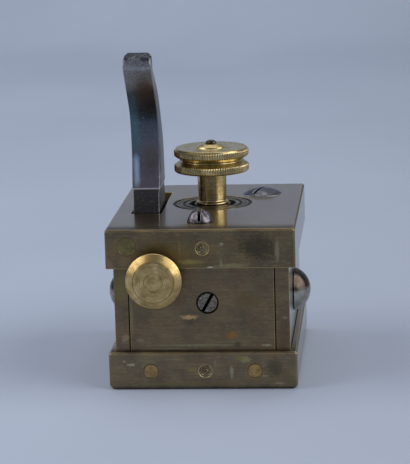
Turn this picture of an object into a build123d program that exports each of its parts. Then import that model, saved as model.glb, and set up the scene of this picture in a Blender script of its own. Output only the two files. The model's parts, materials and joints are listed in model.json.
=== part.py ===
from build123d import *
import os
from math import acos, atan2, cos, degrees, pi, radians, sin, sqrt, tan

os.makedirs("parts", exist_ok=True)

# A spring scarificator: a brass box whose cocking lever winds two arbors of lancets
# past slots in the base tray. Millimetres, +Z up, front at -Y, origin in the middle of
# the tray's underside.

# Case
case_width = 38.0
case_depth = 50.0
case_height = 32.9
lid_plate = 2.0
lid_skirt = 7.9
skirt_wall = 1.4
edge_bevel = 0.35
corner_round = 0.55
side_plate = 2.95
end_plate = 2.4
joint_gap = 0.1
pin_fit = 0.01

# Base tray, which slides on the case
tray_height = 7.75
tray_floor = 1.6
tray_gap = 0.12
tray_heel = 1.2
plate_seat = 0.3
stud_radius = 1.3
stud_height = 3.9
stud_spread = 10.5
stud_reach = 1.0
slot_play = 0.25
slot_end_play = 0.35

# Cocking lever and its arbor
pivot_y = -3.95
pivot_z = 15.86
lever_inset = 3.77
lever_width = 5.7
lever_step = 0.18
lever_bevel = 0.25
lever_tilt = 30.0
lever_arm = 2.2
lever_hub = 4.6
slot_front = -8.2
slot_rear = 16.0
slot_side_play = 0.25
slot_inner_play = 0.3
lever_height = 33.7
lever_shoulder = 4.85
root_front_play = 0.2
root_reach = 9.6
root_sink = 0.6
arbor_radius = 1.9
arbor_square = 2.6
journal_radius = 1.25
running_fit = 0.04
dome_radius = 4.55
dome_height = 3.4
dome_gap = 0.1
dome_stub = 2.0

# Toothed sector, pinion and the train between the lancet arbors
gear_module = 0.5
pressure_angle = 25.0
backlash = 0.05
sector_teeth = 48
sector_cut = 7
pinion_leaves = 8
train_teeth = 14
sector_thickness = 2.0
train_thickness = 2.0
train_inset = 3.45
meshing_addendum = 0.5
sector_addendum = 0.35
wheel_dedendum = 0.6
pinion_dedendum = 0.45

# Lancet arbors
arbor_z = 9.4
lancet_square = 1.8
lancet_journal = 0.9
lancet_journal_length = 1.4
lancet_reach = 11.7
lancet_hub = 2.5
lancet_thickness = 0.5
square_fit = 0.02
spacer_radius = 1.8
spacer_bore = 1.32
end_play = 0.15
lancet_middle_gap = 3.0
lancet_inset = 4.85

# Depth screw
screw_x = 0.5
screw_y = 3.15
bush_radius = 8.45
bush_flange = 1.1
bush_hub = 4.4
bush_length = 4.0
spindle_radius = 1.9
thread_radius = 1.4
spindle_end = 14.0
nipple_radius = 0.85
nipple_height = 1.3
stem_radius = 2.85
stem_flare = 3.4
stem_flare_height = 0.7
rim_radius = 7.83
rim_height = 1.2
rim_drop = 7.25
rim_pitch = 3.4
neck_radius = 5.9
neck_slope = 0.75
rim_edge = 0.3
knob_boss = 3.05
knob_dish = 0.25
collar_radius = 3.4
collar_height = 1.5
collar_gap = 0.2
post_radius = 2.2
post_height = 22.4
post_bore_depth = 11.5
post_foot = 3.4
post_foot_height = 1.2
post_rivet = 1.6

# Trigger and sear
trigger_inset = 10.0
trigger_drop = 9.7
trigger_stem_radius = 1.85
trigger_radius = 5.65
trigger_bevel = 1.5
trigger_skirt = 2.2
trigger_stand = 1.2
trigger_out = 0.5
trigger_play = 0.25
stem_dent = 0.12
nib_radius = 0.8
nib_length = 1.0
collar_play = 0.1
trigger_collar_radius = 2.6
trigger_collar_length = 0.7
sear_back = 4.2
sear_drop = 4.3
sear_reach = 4.25
sear_hub = 1.6
sear_arm = 1.4
sear_angle = 188.0
nose_half = 3.0
nose_setback = 1.55
rim_relief = 0.9
nose_lead = 3.7
sear_rise = 6.1
sear_gap = 0.15
sear_pin_radius = 0.8
sear_width = 5.8
sear_leaf = 0.35
sear_leaf_height = 2.2
sear_screw_x = -1.6
sear_screw_radius = 0.6
leaf_rise = 2.3
ear_thickness = 0.9
trigger_plate_thickness = 2.0
trigger_plate_drop = 3.0
trigger_plate_height = 7.2

# Screws and springs
front_screw_x = 1.15
front_screw_drop = 5.6
front_screw_radius = 2.05
front_screw_head = 1.0
top_screw_x = -0.5
top_screw_back = 4.4
top_screw_radius = 2.6
top_screw_height = 2.7
rear_screw_inset = 4.25
rear_screw_back = 7.7
rear_screw_radius = 4.2
rear_screw_height = 1.3
shank_radius = 1.2
driver_slot = 0.65
driver_slot_depth = 0.9
bridge_depth = 4.2
bridge_height = 5.5
bridge_tenon = 1.2
tenon_length = 1.2
lug_width = 8.4
lug_depth = 8.0
mainspring_width = 6.0
mainspring_leaf = 0.9
mainspring_bend = 1.6
crank_width = 4.8
crank_hub = 3.2
crank_reach = 6.8
crank_rise = 20.0
crank_tip = 1.2
lid_pin_radius = 1.3
lid_pin_drop = 3.9
lid_plug_radius = 1.7
lid_plug_drop = 3.4
knee_drop = 1.8
rivet_radius = 0.7
rivet_reach = 3.6
collar_pin_radius = 0.45
crank_pin_radius = 0.6
pin_ring = 0.95
pin_core = 0.4
ring_depth = 0.2
idler_stud_radius = 1.0
idler_head = 1.7
idler_shoulder = 1.6

# Places that follow from the sizes above
body_width = case_width - 2 * skirt_wall
body_depth = case_depth - 2 * skirt_wall
plate_top = case_height - lid_plate
plate_bottom = tray_floor + plate_seat
plate_height = plate_top - plate_bottom
inner_x = body_width / 2 - side_plate
inner_y = body_depth / 2 - end_plate
case_front = -case_depth / 2
body_front = -body_depth / 2
sector_pitch = sector_teeth * gear_module / 2
pinion_pitch = pinion_leaves * gear_module / 2
train_pitch = train_teeth * gear_module / 2
drive_distance = sector_pitch + pinion_pitch
rear_y = pivot_y + sqrt(drive_distance**2 - (pivot_z - arbor_z) ** 2)
idler_y = rear_y - 2 * train_pitch
front_y = idler_y - 2 * train_pitch
mesh_angle = degrees(atan2(arbor_z - pivot_z, rear_y - pivot_y))
lever_left = lever_inset - case_width / 2
lever_right = lever_left + lever_width
arm_left = -inner_x + 0.35
sector_left = arm_left + lever_arm
sector_right = sector_left + sector_thickness
bore_radius = journal_radius + running_fit
slot_middle_x = (lever_left + lever_right - slot_side_play + slot_inner_play) / 2
slot_middle_y = (slot_front + slot_rear) / 2
spindle_length = case_height - spindle_end
train_left = inner_x - train_inset
trigger_x = trigger_inset - case_width / 2
trigger_z = case_height - trigger_drop
trigger_plate_top = trigger_z - trigger_plate_drop
trigger_plate_bottom = trigger_plate_top - trigger_plate_height
sear_y = sear_back - inner_y
sear_z = trigger_z - sear_drop
rim_outer = pivot_y - sear_y - sear_reach
rim_inner = rim_outer - rim_relief
front_screw_z = trigger_z - front_screw_drop
top_screw_y = top_screw_back - inner_y
rear_screw_x = inner_x - rear_screw_inset
rear_screw_y = inner_y - rear_screw_back
lancet_pitch = (inner_x - lancet_inset - lancet_middle_gap) / 2
front_offsets = [lancet_middle_gap + step * lancet_pitch for step in (0, 1, 2)]
rear_offsets = [lancet_middle_gap + step * lancet_pitch for step in (0.5, 1.5)]


def side_plane(x, y=0.0, z=0.0, turn=0.0):
    """Plane facing +X whose own x axis is +Y turned towards +Z."""
    return Plane(origin=(x, y, z), x_dir=(0, cos(radians(turn)), sin(radians(turn))), z_dir=(1, 0, 0))


def front_plane(y):
    """Plane facing the viewer in front, drawn in X and Z."""
    return Plane.XZ.offset(-y)


def polar(radius, angle):
    """Point at a radius and an angle in degrees."""
    return (radius * cos(radians(angle)), radius * sin(radians(angle)))


def tooth_flank(teeth, addendum, dedendum):
    """Radii and half angles, in degrees, of one tooth's flank from root to tip."""
    pitch = teeth * gear_module / 2
    base = pitch * cos(radians(pressure_angle))
    tip = pitch + addendum
    root = pitch - dedendum
    low = max(root, base)
    half_pitch = (pi * gear_module / 2 - backlash) / (2 * pitch)
    involute = tan(radians(pressure_angle)) - radians(pressure_angle)
    flank = []
    for radius in (low, (low + tip) / 2, tip):
        angle = acos(min(1.0, base / radius))
        flank.append((radius, degrees(half_pitch + involute - (tan(angle) - angle))))
    return root, flank


def draw_teeth(teeth, count, addendum, dedendum, first_angle, closed):
    """Outline of count teeth, the first centred on first_angle, closed round or to the centre."""
    root, flank = tooth_flank(teeth, addendum, dedendum)
    step = 360.0 / teeth
    foot = flank[0][1]
    for index in range(count):
        centre = first_angle + index * step
        up = [polar(radius, centre - half) for radius, half in flank]
        down = [polar(radius, centre + half) for radius, half in reversed(flank)]
        if flank[0][0] > root + 0.001:
            Line(polar(root, centre - foot), up[0])
            Line(down[2], polar(root, centre + foot))
        ThreePointArc(*up)
        ThreePointArc(up[2], polar(flank[2][0], centre), down[0])
        ThreePointArc(*down)
        if closed or index < count - 1:
            gap = centre + step / 2
            ThreePointArc(polar(root, centre + foot), polar(root, gap), polar(root, centre + step - foot))
    if not closed:
        last = first_angle + (count - 1) * step
        Line(polar(root, last + foot), (0, 0))
        Line((0, 0), polar(root, first_angle - foot))


def round_screw(x, y, radius, height, angle):
    """Round-headed screw from the lid's top into a bridge, its driver slot at an angle from X."""
    sphere = (radius**2 + height**2) / (2 * height)
    head_top = case_height + height
    with BuildPart() as screw:
        with BuildSketch(Plane.XZ):
            with BuildLine():
                Line((0, case_height), (radius, case_height))
                RadiusArc((radius, case_height), (0, head_top), -sphere)
                Line((0, head_top), (0, case_height))
            make_face()
        revolve(axis=Axis.Z)
        with BuildSketch(Plane.XY.offset(head_top - driver_slot_depth)):
            Rectangle(3 * radius, driver_slot, rotation=angle)
        extrude(amount=2 * height, mode=Mode.SUBTRACT)
        with BuildSketch(Plane.XY.offset(case_height)):
            Circle(shank_radius)
        extrude(amount=-(lid_plate + bridge_height - 1.2))
    screw.part.locate(Location((x, y, 0)))
    return screw


# Lid: top plate with a turned-down skirt
with BuildPart() as lid:
    with BuildSketch(Plane.XY.offset(case_height - lid_skirt)):
        RectangleRounded(case_width, case_depth, corner_round)
    extrude(amount=lid_skirt)
    chamfer(lid.faces().sort_by(Axis.Z)[-1].edges(), edge_bevel)
    with BuildSketch(Plane.XY.offset(case_height - lid_skirt)):
        Rectangle(body_width, body_depth)
    extrude(amount=lid_skirt - lid_plate, mode=Mode.SUBTRACT)
    with BuildSketch(Plane.XY.offset(plate_top)):
        with Locations((slot_middle_x, slot_middle_y)):
            Rectangle(lever_width + slot_side_play + slot_inner_play, slot_rear - slot_front)
        with Locations((screw_x, screw_y)):
            Circle(bush_hub + pin_fit)
        with Locations((top_screw_x, top_screw_y), (rear_screw_x, rear_screw_y)):
            Circle(shank_radius + pin_fit)
    extrude(amount=lid_plate, mode=Mode.SUBTRACT)
    with BuildSketch(Plane.XY.offset(case_height - bush_flange)):
        with Locations((screw_x, screw_y)):
            Circle(bush_radius + pin_fit)
    extrude(amount=bush_flange, mode=Mode.SUBTRACT)
    with BuildSketch(front_plane(body_front)):
        with Locations((screw_x, case_height - lid_pin_drop)):
            Circle(lid_pin_radius + pin_fit)
        with Locations((-inner_x, case_height - lid_plug_drop)):
            Circle(lid_plug_radius + pin_fit)
        with Locations((trigger_x, trigger_z)):
            Circle(trigger_stem_radius + 0.3)
    extrude(amount=skirt_wall, mode=Mode.SUBTRACT)
    with BuildSketch(front_plane(-body_front)):
        with Locations((screw_x, case_height - lid_pin_drop)):
            Circle(lid_pin_radius + pin_fit)
    extrude(amount=-skirt_wall, mode=Mode.SUBTRACT)
lid.part.label = "lid"
export_step(lid.part, "parts/lid.step")

# Turned bush let into the lid, with its ring grooves
with BuildPart() as depth_bush:
    with BuildSketch(Plane.XZ):
        with BuildLine():
            Polyline(
                (spindle_radius + running_fit, case_height),
                (stem_flare + 0.4, case_height),
                (stem_flare + 0.55, case_height - 0.8),
                (4.8, case_height - 0.8),
                (4.9, case_height),
                (5.9, case_height),
                (6.1, case_height - 0.3),
                (6.35, case_height),
                (7.75, case_height),
                (7.95, case_height - 0.25),
                (8.2, case_height - 0.05),
                (bush_radius, case_height - 0.05),
                (bush_radius, case_height - bush_flange),
                (bush_hub, case_height - bush_flange),
                (bush_hub, case_height - bush_length),
                (spindle_radius + running_fit, case_height - bush_length),
                close=True,
            )
        make_face()
    revolve(axis=Axis.Z)
depth_bush.part.locate(Location((screw_x, screw_y, 0)))
depth_bush.part.label = "depth_bush"
export_step(depth_bush.part, "parts/depth_bush.step")


# Side plates, with blind bearings for the lancet arbors and a through bearing for the lever
front_bridge_y = top_screw_y
rear_bridge_y = inner_y - bridge_depth / 2
bridge_z = plate_top - bridge_height / 2
pocket_depth = -inner_x - lever_left + 0.35
pocket_height = 11.0


def side_wall(side):
    """Side plate on side -1 or +1: the left is relieved for the lever, the right holds the idler."""
    inner = side * inner_x
    with BuildPart() as wall:
        with BuildSketch(side_plane(inner)):
            with Locations((0, (plate_top + plate_bottom) / 2)):
                Rectangle(body_depth, plate_height)
        extrude(amount=side * side_plate)
        with BuildSketch(side_plane(inner)):
            with Locations((pivot_y, pivot_z)):
                Circle(bore_radius)
        extrude(amount=side * side_plate, mode=Mode.SUBTRACT)
        with BuildSketch(side_plane(inner)):
            with Locations((front_y, arbor_z), (rear_y, arbor_z)):
                Circle(lancet_journal + running_fit)
        extrude(amount=side * (lancet_journal_length + 0.2), mode=Mode.SUBTRACT)
        with BuildSketch(side_plane(inner)):
            with Locations((front_bridge_y, bridge_z), (rear_bridge_y, bridge_z)):
                Circle(bridge_tenon + pin_fit)
        extrude(amount=side * (tenon_length + 0.1), mode=Mode.SUBTRACT)
        if side < 0:
            with BuildSketch(side_plane(inner)):
                with Locations(((slot_front + slot_rear) / 2 + 1.0, plate_top - pocket_height / 2)):
                    Rectangle(slot_rear - slot_front + 5.0, pocket_height)
            extrude(amount=-pocket_depth, mode=Mode.SUBTRACT)
        else:
            with BuildSketch(side_plane(inner)):
                with Locations((idler_y, arbor_z)):
                    Circle(idler_stud_radius + pin_fit)
            extrude(amount=lancet_journal_length, mode=Mode.SUBTRACT)
    return wall


left_side_plate = side_wall(-1)
left_side_plate.part.label = "left_side_plate"
export_step(left_side_plate.part, "parts/left_side_plate.step")

right_side_plate = side_wall(1)
right_side_plate.part.label = "right_side_plate"
export_step(right_side_plate.part, "parts/right_side_plate.step")


# Front and rear plates, notched at the bottom for the tray's guide studs
def end_wall(side):
    """End plate at the front, side -1, with the trigger's holes, or at the rear, side +1."""
    outer = side * body_depth / 2
    notch_top = stud_height + stud_radius + 0.15
    with BuildPart() as wall:
        with BuildSketch(front_plane(outer)):
            with Locations((0, (plate_top + plate_bottom) / 2)):
                Rectangle(2 * (inner_x - joint_gap), plate_height)
            with Locations((screw_x, case_height - lid_pin_drop)):
                Circle(lid_pin_radius + pin_fit, mode=Mode.SUBTRACT)
            with Locations(*[(x, plate_bottom) for x in (-stud_spread, screw_x, stud_spread)]):
                Rectangle(2 * stud_radius + 0.3, 2 * (notch_top - plate_bottom), mode=Mode.SUBTRACT)
        extrude(amount=side * end_plate)
        if side < 0:
            with BuildSketch(front_plane(outer)):
                with Locations((trigger_x, trigger_z)):
                    Circle(trigger_stem_radius + running_fit)
                with Locations((front_screw_x, front_screw_z)):
                    Circle(shank_radius + pin_fit)
            extrude(amount=-end_plate, mode=Mode.SUBTRACT)
            with BuildSketch(front_plane(outer)):
                with Locations((front_screw_x, front_screw_z)):
                    Circle(front_screw_radius + 0.08)
            extrude(amount=-1.1, mode=Mode.SUBTRACT)
    return wall


front_plate = end_wall(-1)
front_plate.part.label = "front_plate"
export_step(front_plate.part, "parts/front_plate.step")

rear_plate = end_wall(1)
rear_plate.part.label = "rear_plate"
export_step(rear_plate.part, "parts/rear_plate.step")

# Bridges between the side plates, which carry the lid's two screws
channel_width = mainspring_width + 0.2
with BuildPart() as front_bridge:
    with BuildSketch(side_plane(-inner_x)):
        with Locations((front_bridge_y, bridge_z)):
            Rectangle(bridge_depth, bridge_height)
    extrude(amount=2 * inner_x)
    with BuildSketch(side_plane(-inner_x - tenon_length)):
        with Locations((front_bridge_y, bridge_z)):
            Circle(bridge_tenon)
    extrude(amount=2 * (inner_x + tenon_length))
    with BuildSketch(Plane.XY.offset(plate_top)):
        with Locations((top_screw_x, top_screw_y)):
            Rectangle(channel_width, 2 * bridge_depth)
    extrude(amount=-mainspring_leaf, mode=Mode.SUBTRACT)
    with BuildSketch(Plane.XY.offset(plate_top)):
        with Locations((top_screw_x, top_screw_y)):
            Circle(shank_radius + pin_fit)
    extrude(amount=-bridge_height + 0.8, mode=Mode.SUBTRACT)
front_bridge.part.label = "front_bridge"
export_step(front_bridge.part, "parts/front_bridge.step")

with BuildPart() as rear_bridge:
    with BuildSketch(side_plane(-inner_x)):
        with Locations((rear_bridge_y, bridge_z)):
            Rectangle(bridge_depth, bridge_height)
    extrude(amount=2 * inner_x)
    with BuildSketch(Plane.XY.offset(plate_top - bridge_height)):
        with Locations((rear_screw_x, rear_bridge_y)):
            Rectangle(lug_width, 2 * (rear_bridge_y - rear_screw_y) + lug_depth)
        with Locations((rear_screw_x, rear_bridge_y + case_depth / 2 + bridge_depth / 2)):
            Rectangle(2 * lug_width, case_depth, mode=Mode.SUBTRACT)
    extrude(amount=bridge_height)
    with BuildSketch(side_plane(-inner_x - tenon_length)):
        with Locations((rear_bridge_y, bridge_z)):
            Circle(bridge_tenon)
    extrude(amount=2 * (inner_x + tenon_length))
    with BuildSketch(Plane.XY.offset(plate_top)):
        with Locations((rear_screw_x, rear_screw_y)):
            Circle(shank_radius + pin_fit)
    extrude(amount=-bridge_height + 0.8, mode=Mode.SUBTRACT)
rear_bridge.part.label = "rear_bridge"
export_step(rear_bridge.part, "parts/rear_bridge.step")


# Lid screws
top_screw = round_screw(top_screw_x, top_screw_y, top_screw_radius, top_screw_height, 91.0)
top_screw.part.label = "top_screw"
export_step(top_screw.part, "parts/top_screw.step")

rear_screw = round_screw(rear_screw_x, rear_screw_y, rear_screw_radius, rear_screw_height, 62.0)
rear_screw.part.label = "rear_screw"
export_step(rear_screw.part, "parts/rear_screw.step")

# Pins and the plug through the lid's skirt
with BuildPart() as lid_pins:
    with BuildSketch(front_plane(case_front)):
        with Locations((screw_x, case_height - lid_pin_drop)):
            Circle(lid_pin_radius)
    extrude(amount=-(skirt_wall + end_plate))
    with BuildSketch(front_plane(-case_front)):
        with Locations((screw_x, case_height - lid_pin_drop)):
            Circle(lid_pin_radius)
    extrude(amount=skirt_wall + end_plate)
    with BuildSketch(front_plane(case_front)):
        with Locations((screw_x, case_height - lid_pin_drop)):
            Circle(pin_ring)
            Circle(pin_core, mode=Mode.SUBTRACT)
    extrude(amount=-ring_depth, mode=Mode.SUBTRACT)
lid_pins.part.label = "lid_pins"
export_step(lid_pins.part, "parts/lid_pins.step")

with BuildPart() as lid_plug:
    with BuildSketch(front_plane(case_front)):
        with Locations((-inner_x, case_height - lid_plug_drop)):
            Circle(lid_plug_radius)
    extrude(amount=-skirt_wall)
lid_plug.part.label = "lid_plug"
export_step(lid_plug.part, "parts/lid_plug.step")

# Base tray with a slot for each lancet
slot_half = sqrt(lancet_reach**2 - (arbor_z - tray_floor) ** 2) + slot_end_play
slot_width = lancet_thickness + 2 * slot_play
front_lancets = sorted(screw_x + side * offset for offset in front_offsets for side in (-1, 1))
rear_lancets = sorted(screw_x + side * offset for offset in rear_offsets for side in (-1, 1))
with BuildPart() as base_tray:
    with BuildSketch():
        RectangleRounded(case_width, case_depth, corner_round)
    extrude(amount=tray_height)
    chamfer(base_tray.faces().sort_by(Axis.Z)[-1].edges(), edge_bevel)
    fillet(base_tray.faces().sort_by(Axis.Z)[0].edges(), tray_heel)
    with BuildSketch(Plane.XY.offset(tray_floor)):
        Rectangle(body_width + 2 * tray_gap, body_depth + 2 * tray_gap)
    extrude(amount=tray_height, mode=Mode.SUBTRACT)
    with BuildSketch():
        with Locations([(x, front_y) for x in front_lancets] + [(x, rear_y) for x in rear_lancets]):
            SlotOverall(2 * slot_half, slot_width, rotation=90)
        with Locations((screw_x, screw_y)):
            Circle(post_rivet + pin_fit)
    extrude(amount=tray_floor, mode=Mode.SUBTRACT)
    with BuildSketch(front_plane(case_front)):
        with Locations((-stud_spread, stud_height), (screw_x, stud_height), (stud_spread, stud_height)):
            Circle(stud_radius + pin_fit)
    extrude(amount=-case_depth, mode=Mode.SUBTRACT)
base_tray.part.label = "base_tray"
export_step(base_tray.part, "parts/base_tray.step")

# Guide studs riveted in the tray's front and rear walls
with BuildPart() as tray_studs:
    for face, inward in ((case_front, -1), (-case_front, 1)):
        with BuildSketch(front_plane(face)):
            with Locations((-stud_spread, stud_height), (stud_spread, stud_height)):
                Circle(stud_radius)
        extrude(amount=inward * (skirt_wall + stud_reach))
tray_studs.part.label = "tray_studs"
export_step(tray_studs.part, "parts/tray_studs.step")

with BuildPart() as tray_centre_pins:
    for face, inward in ((case_front, -1), (-case_front, 1)):
        with BuildSketch(front_plane(face)):
            with Locations((screw_x, stud_height)):
                Circle(stud_radius)
        extrude(amount=inward * (skirt_wall + stud_reach))
        with BuildSketch(front_plane(face)):
            with Locations((screw_x, stud_height)):
                Circle(pin_ring)
                Circle(pin_core, mode=Mode.SUBTRACT)
        extrude(amount=inward * ring_depth, mode=Mode.SUBTRACT)
tray_centre_pins.part.label = "tray_centre_pins"
export_step(tray_centre_pins.part, "parts/tray_centre_pins.step")

# Nut post riveted in the tray's floor
post_top = tray_floor + post_height
with BuildPart() as nut_post:
    with BuildSketch(Plane.XY.offset(tray_floor)):
        Circle(post_foot)
    extrude(amount=post_foot_height)
    with BuildSketch():
        Circle(post_rivet)
    extrude(amount=tray_floor)
    with BuildSketch(Plane.XY.offset(tray_floor)):
        Circle(post_radius)
    extrude(amount=post_height)
    with BuildSketch(Plane.XY.offset(post_top)):
        Circle(thread_radius + running_fit + 0.02)
    extrude(amount=-post_bore_depth, mode=Mode.SUBTRACT)
nut_post.part.locate(Location((screw_x, screw_y, 0)))
nut_post.part.label = "nut_post"
export_step(nut_post.part, "parts/nut_post.step")

# Depth knob: two rims with a V groove between, on a stem
rim_bottom = case_height + rim_drop
upper_bottom = rim_bottom + rim_pitch
knob_top = upper_bottom + rim_height
with BuildPart() as depth_knob:
    with BuildSketch(Plane.XZ):
        with BuildLine():
            Polyline(
                (0, case_height + 0.05),
                (stem_flare, case_height + 0.05),
                (stem_flare, case_height + stem_flare_height * 0.4),
                (stem_radius, case_height + stem_flare_height),
                (stem_radius, rim_bottom - 0.6),
                (stem_radius + 0.6, rim_bottom),
                (rim_radius - rim_edge, rim_bottom),
                (rim_radius, rim_bottom + rim_edge / 2),
                (rim_radius, rim_bottom + rim_height - rim_edge / 2),
                (rim_radius - rim_edge, rim_bottom + rim_height),
                (neck_radius, rim_bottom + rim_height + neck_slope),
                (neck_radius, upper_bottom - neck_slope),
                (rim_radius - rim_edge, upper_bottom),
                (rim_radius, upper_bottom + rim_edge / 2),
                (rim_radius, knob_top - rim_edge / 2),
                (rim_radius - rim_edge, knob_top + 0.15),
                (knob_boss + 0.3, knob_top + 0.15 - knob_dish),
                (knob_boss + 0.1, knob_top + 0.3),
                (0, knob_top + 0.3),
                close=True,
            )
        make_face()
    revolve(axis=Axis.Z)
    with BuildSketch(Plane.XY.offset(case_height)):
        Circle(nipple_radius + pin_fit)
    extrude(amount=case_height, mode=Mode.SUBTRACT)
depth_knob.part.locate(Location((screw_x, screw_y, 0)))
depth_knob.part.label = "depth_knob"
export_step(depth_knob.part, "parts/depth_knob.step")

# Steel spindle of the depth screw, riveted through the knob
with BuildPart() as depth_spindle:
    with BuildSketch(Plane.XY.offset(case_height - bush_length - collar_gap - collar_height - 0.2)):
        Circle(spindle_radius)
    extrude(amount=bush_length + collar_gap + collar_height + 0.2)
    with BuildSketch(Plane.XY.offset(case_height - spindle_length)):
        Circle(thread_radius)
    extrude(amount=spindle_length)
    with BuildSketch(Plane.XY.offset(case_height)):
        Circle(nipple_radius)
    extrude(amount=knob_top + nipple_height - case_height)
    fillet(depth_spindle.faces().sort_by(Axis.Z)[-1].edges(), nipple_radius * 0.6)
    chamfer(depth_spindle.faces().sort_by(Axis.Z)[0].edges(), 0.4)
    with BuildSketch(side_plane(-case_width / 2)):
        with Locations((0, case_height - bush_length - collar_gap - collar_height / 2)):
            Circle(collar_pin_radius + pin_fit)
    extrude(amount=case_width, mode=Mode.SUBTRACT)
depth_spindle.part.locate(Location((screw_x, screw_y, 0)))
depth_spindle.part.label = "depth_spindle"
export_step(depth_spindle.part, "parts/depth_spindle.step")

collar_z = case_height - bush_length - collar_gap - collar_height
with BuildPart() as spindle_collar:
    with BuildSketch(Plane.XY.offset(collar_z)):
        Circle(collar_radius)
        Circle(spindle_radius + pin_fit, mode=Mode.SUBTRACT)
    extrude(amount=collar_height)
    with BuildSketch(side_plane(-case_width / 2)):
        with Locations((0, collar_z + collar_height / 2)):
            Circle(collar_pin_radius + pin_fit)
    extrude(amount=case_width, mode=Mode.SUBTRACT)
spindle_collar.part.locate(Location((screw_x, screw_y, 0)))
spindle_collar.part.label = "spindle_collar"
export_step(spindle_collar.part, "parts/spindle_collar.step")

with BuildPart() as collar_pin:
    with BuildSketch(side_plane(screw_x - collar_radius)):
        with Locations((screw_y, collar_z + collar_height / 2)):
            Circle(collar_pin_radius)
    extrude(amount=2 * collar_radius)
collar_pin.part.label = "collar_pin"
export_step(collar_pin.part, "parts/collar_pin.step")

# Cocking lever: a hammer-shaped arm above the lid, thinned to an arm and hub inside
hundredth = lever_height / 100
shoulder_z = case_height + lever_shoulder


def lever_point(y, z):
    """Point in hundredths of the lever's height, from its pivot in Y and from the lid in Z."""
    return (pivot_y + y * hundredth, case_height + z * hundredth)


lever_corners = [
    lever_point(-3.4, 38.6),
    lever_point(-7.9, 61.1),
    lever_point(-36.6, 92.6),
    lever_point(-34.6, 98.5),
    lever_point(-26.6, 101.9),
    lever_point(-26.6, 91.1),
    lever_point(0.4, 73.0),
    lever_point(21.8, 40.4),
]
lever_curves = [curve * hundredth for curve in (59, 26.7, 7.4, 2.7, 1.8, 5.9, 89, 26.7)]
lever_front_foot = (pivot_y - 8.2 * hundredth, shoulder_z)
lever_rear_foot = (pivot_y + 24.2 * hundredth, shoulder_z)
root_front = slot_front + root_front_play
root_rear = pivot_y + root_reach
with BuildPart() as cocking_lever:
    with BuildSketch(side_plane(lever_left)):
        with BuildLine():
            FilletPolyline(lever_front_foot, *lever_corners, lever_rear_foot, radius=lever_curves)
            Line(lever_rear_foot, lever_front_foot)
        make_face()
    extrude(amount=lever_width)
    chamfer(cocking_lever.faces().filter_by(Axis.X).edges(), lever_bevel)
    with BuildSketch(side_plane(lever_left + lever_step)):
        with BuildLine():
            Polyline(
                (lever_front_foot[0] + lever_bevel, shoulder_z + 0.05),
                (root_front, case_height),
                (root_front, plate_top - root_sink),
                (root_rear, plate_top - root_sink),
                (root_rear + 0.1, case_height),
                (lever_rear_foot[0] - 0.05, shoulder_z + 0.05),
                close=True,
            )
        make_face()
    extrude(amount=lever_width - 2 * lever_step)
    with BuildSketch(side_plane(arm_left)):
        Polygon(
            (root_front + 0.2, plate_top),
            (root_rear - 0.2, plate_top),
            (pivot_y + lever_hub, pivot_z),
            (pivot_y - lever_hub, pivot_z),
            align=None,
        )
        with Locations((pivot_y, pivot_z)):
            Circle(lever_hub)
    extrude(amount=lever_arm)
    with BuildSketch(side_plane(arm_left)):
        with Locations((pivot_y, pivot_z)):
            Rectangle(arbor_square + square_fit, arbor_square + square_fit)
            with PolarLocations(rivet_reach, 2, start_angle=20, angular_range=240):
                Circle(rivet_radius + pin_fit)
    extrude(amount=lever_arm, mode=Mode.SUBTRACT)
cocking_lever.part.label = "cocking_lever"
export_step(cocking_lever.part, "parts/cocking_lever.step")

# Toothed sector riveted beside the lever's arm, with the sear's notch at the front
sector_first = mesh_angle - 360.0 / sector_teeth
notch_angle = sear_angle + lever_tilt
with BuildPart() as drive_sector:
    with BuildSketch(side_plane(sector_left, pivot_y, pivot_z)):
        with BuildLine():
            draw_teeth(sector_teeth, sector_cut, sector_addendum, wheel_dedendum, sector_first, False)
        make_face()
        Circle(lever_hub)
        with BuildLine():
            Line((0, 0), polar(rim_outer, sear_angle + 7))
            ThreePointArc(
                polar(rim_outer, sear_angle + 7),
                polar(rim_outer, (sear_angle + 3.5 + notch_angle) / 2),
                polar(rim_outer, notch_angle - nose_half - nose_lead),
            )
            Line(polar(rim_outer, notch_angle - nose_half - nose_lead), (0, 0))
        make_face()
        with BuildLine():
            Line((0, 0), polar(rim_inner, sear_angle - 10))
            ThreePointArc(
                polar(rim_inner, sear_angle - 10),
                polar(rim_inner, sear_angle + 10),
                polar(rim_inner, notch_angle + 8),
            )
            Line(polar(rim_inner, notch_angle + 8), (0, 0))
        make_face()
        Rectangle(arbor_square + square_fit, arbor_square + square_fit, mode=Mode.SUBTRACT)
        with PolarLocations(rivet_reach, 2, start_angle=20, angular_range=240):
            Circle(rivet_radius + pin_fit, mode=Mode.SUBTRACT)
    extrude(amount=sector_thickness)
drive_sector.part.label = "drive_sector"
export_step(drive_sector.part, "parts/drive_sector.step")

with BuildPart() as sector_rivets:
    with BuildSketch(side_plane(arm_left, pivot_y, pivot_z)):
        with PolarLocations(rivet_reach, 2, start_angle=20, angular_range=240):
            Circle(rivet_radius)
    extrude(amount=lever_arm + sector_thickness)
sector_rivets.part.label = "sector_rivets"
export_step(sector_rivets.part, "parts/sector_rivets.step")

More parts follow.
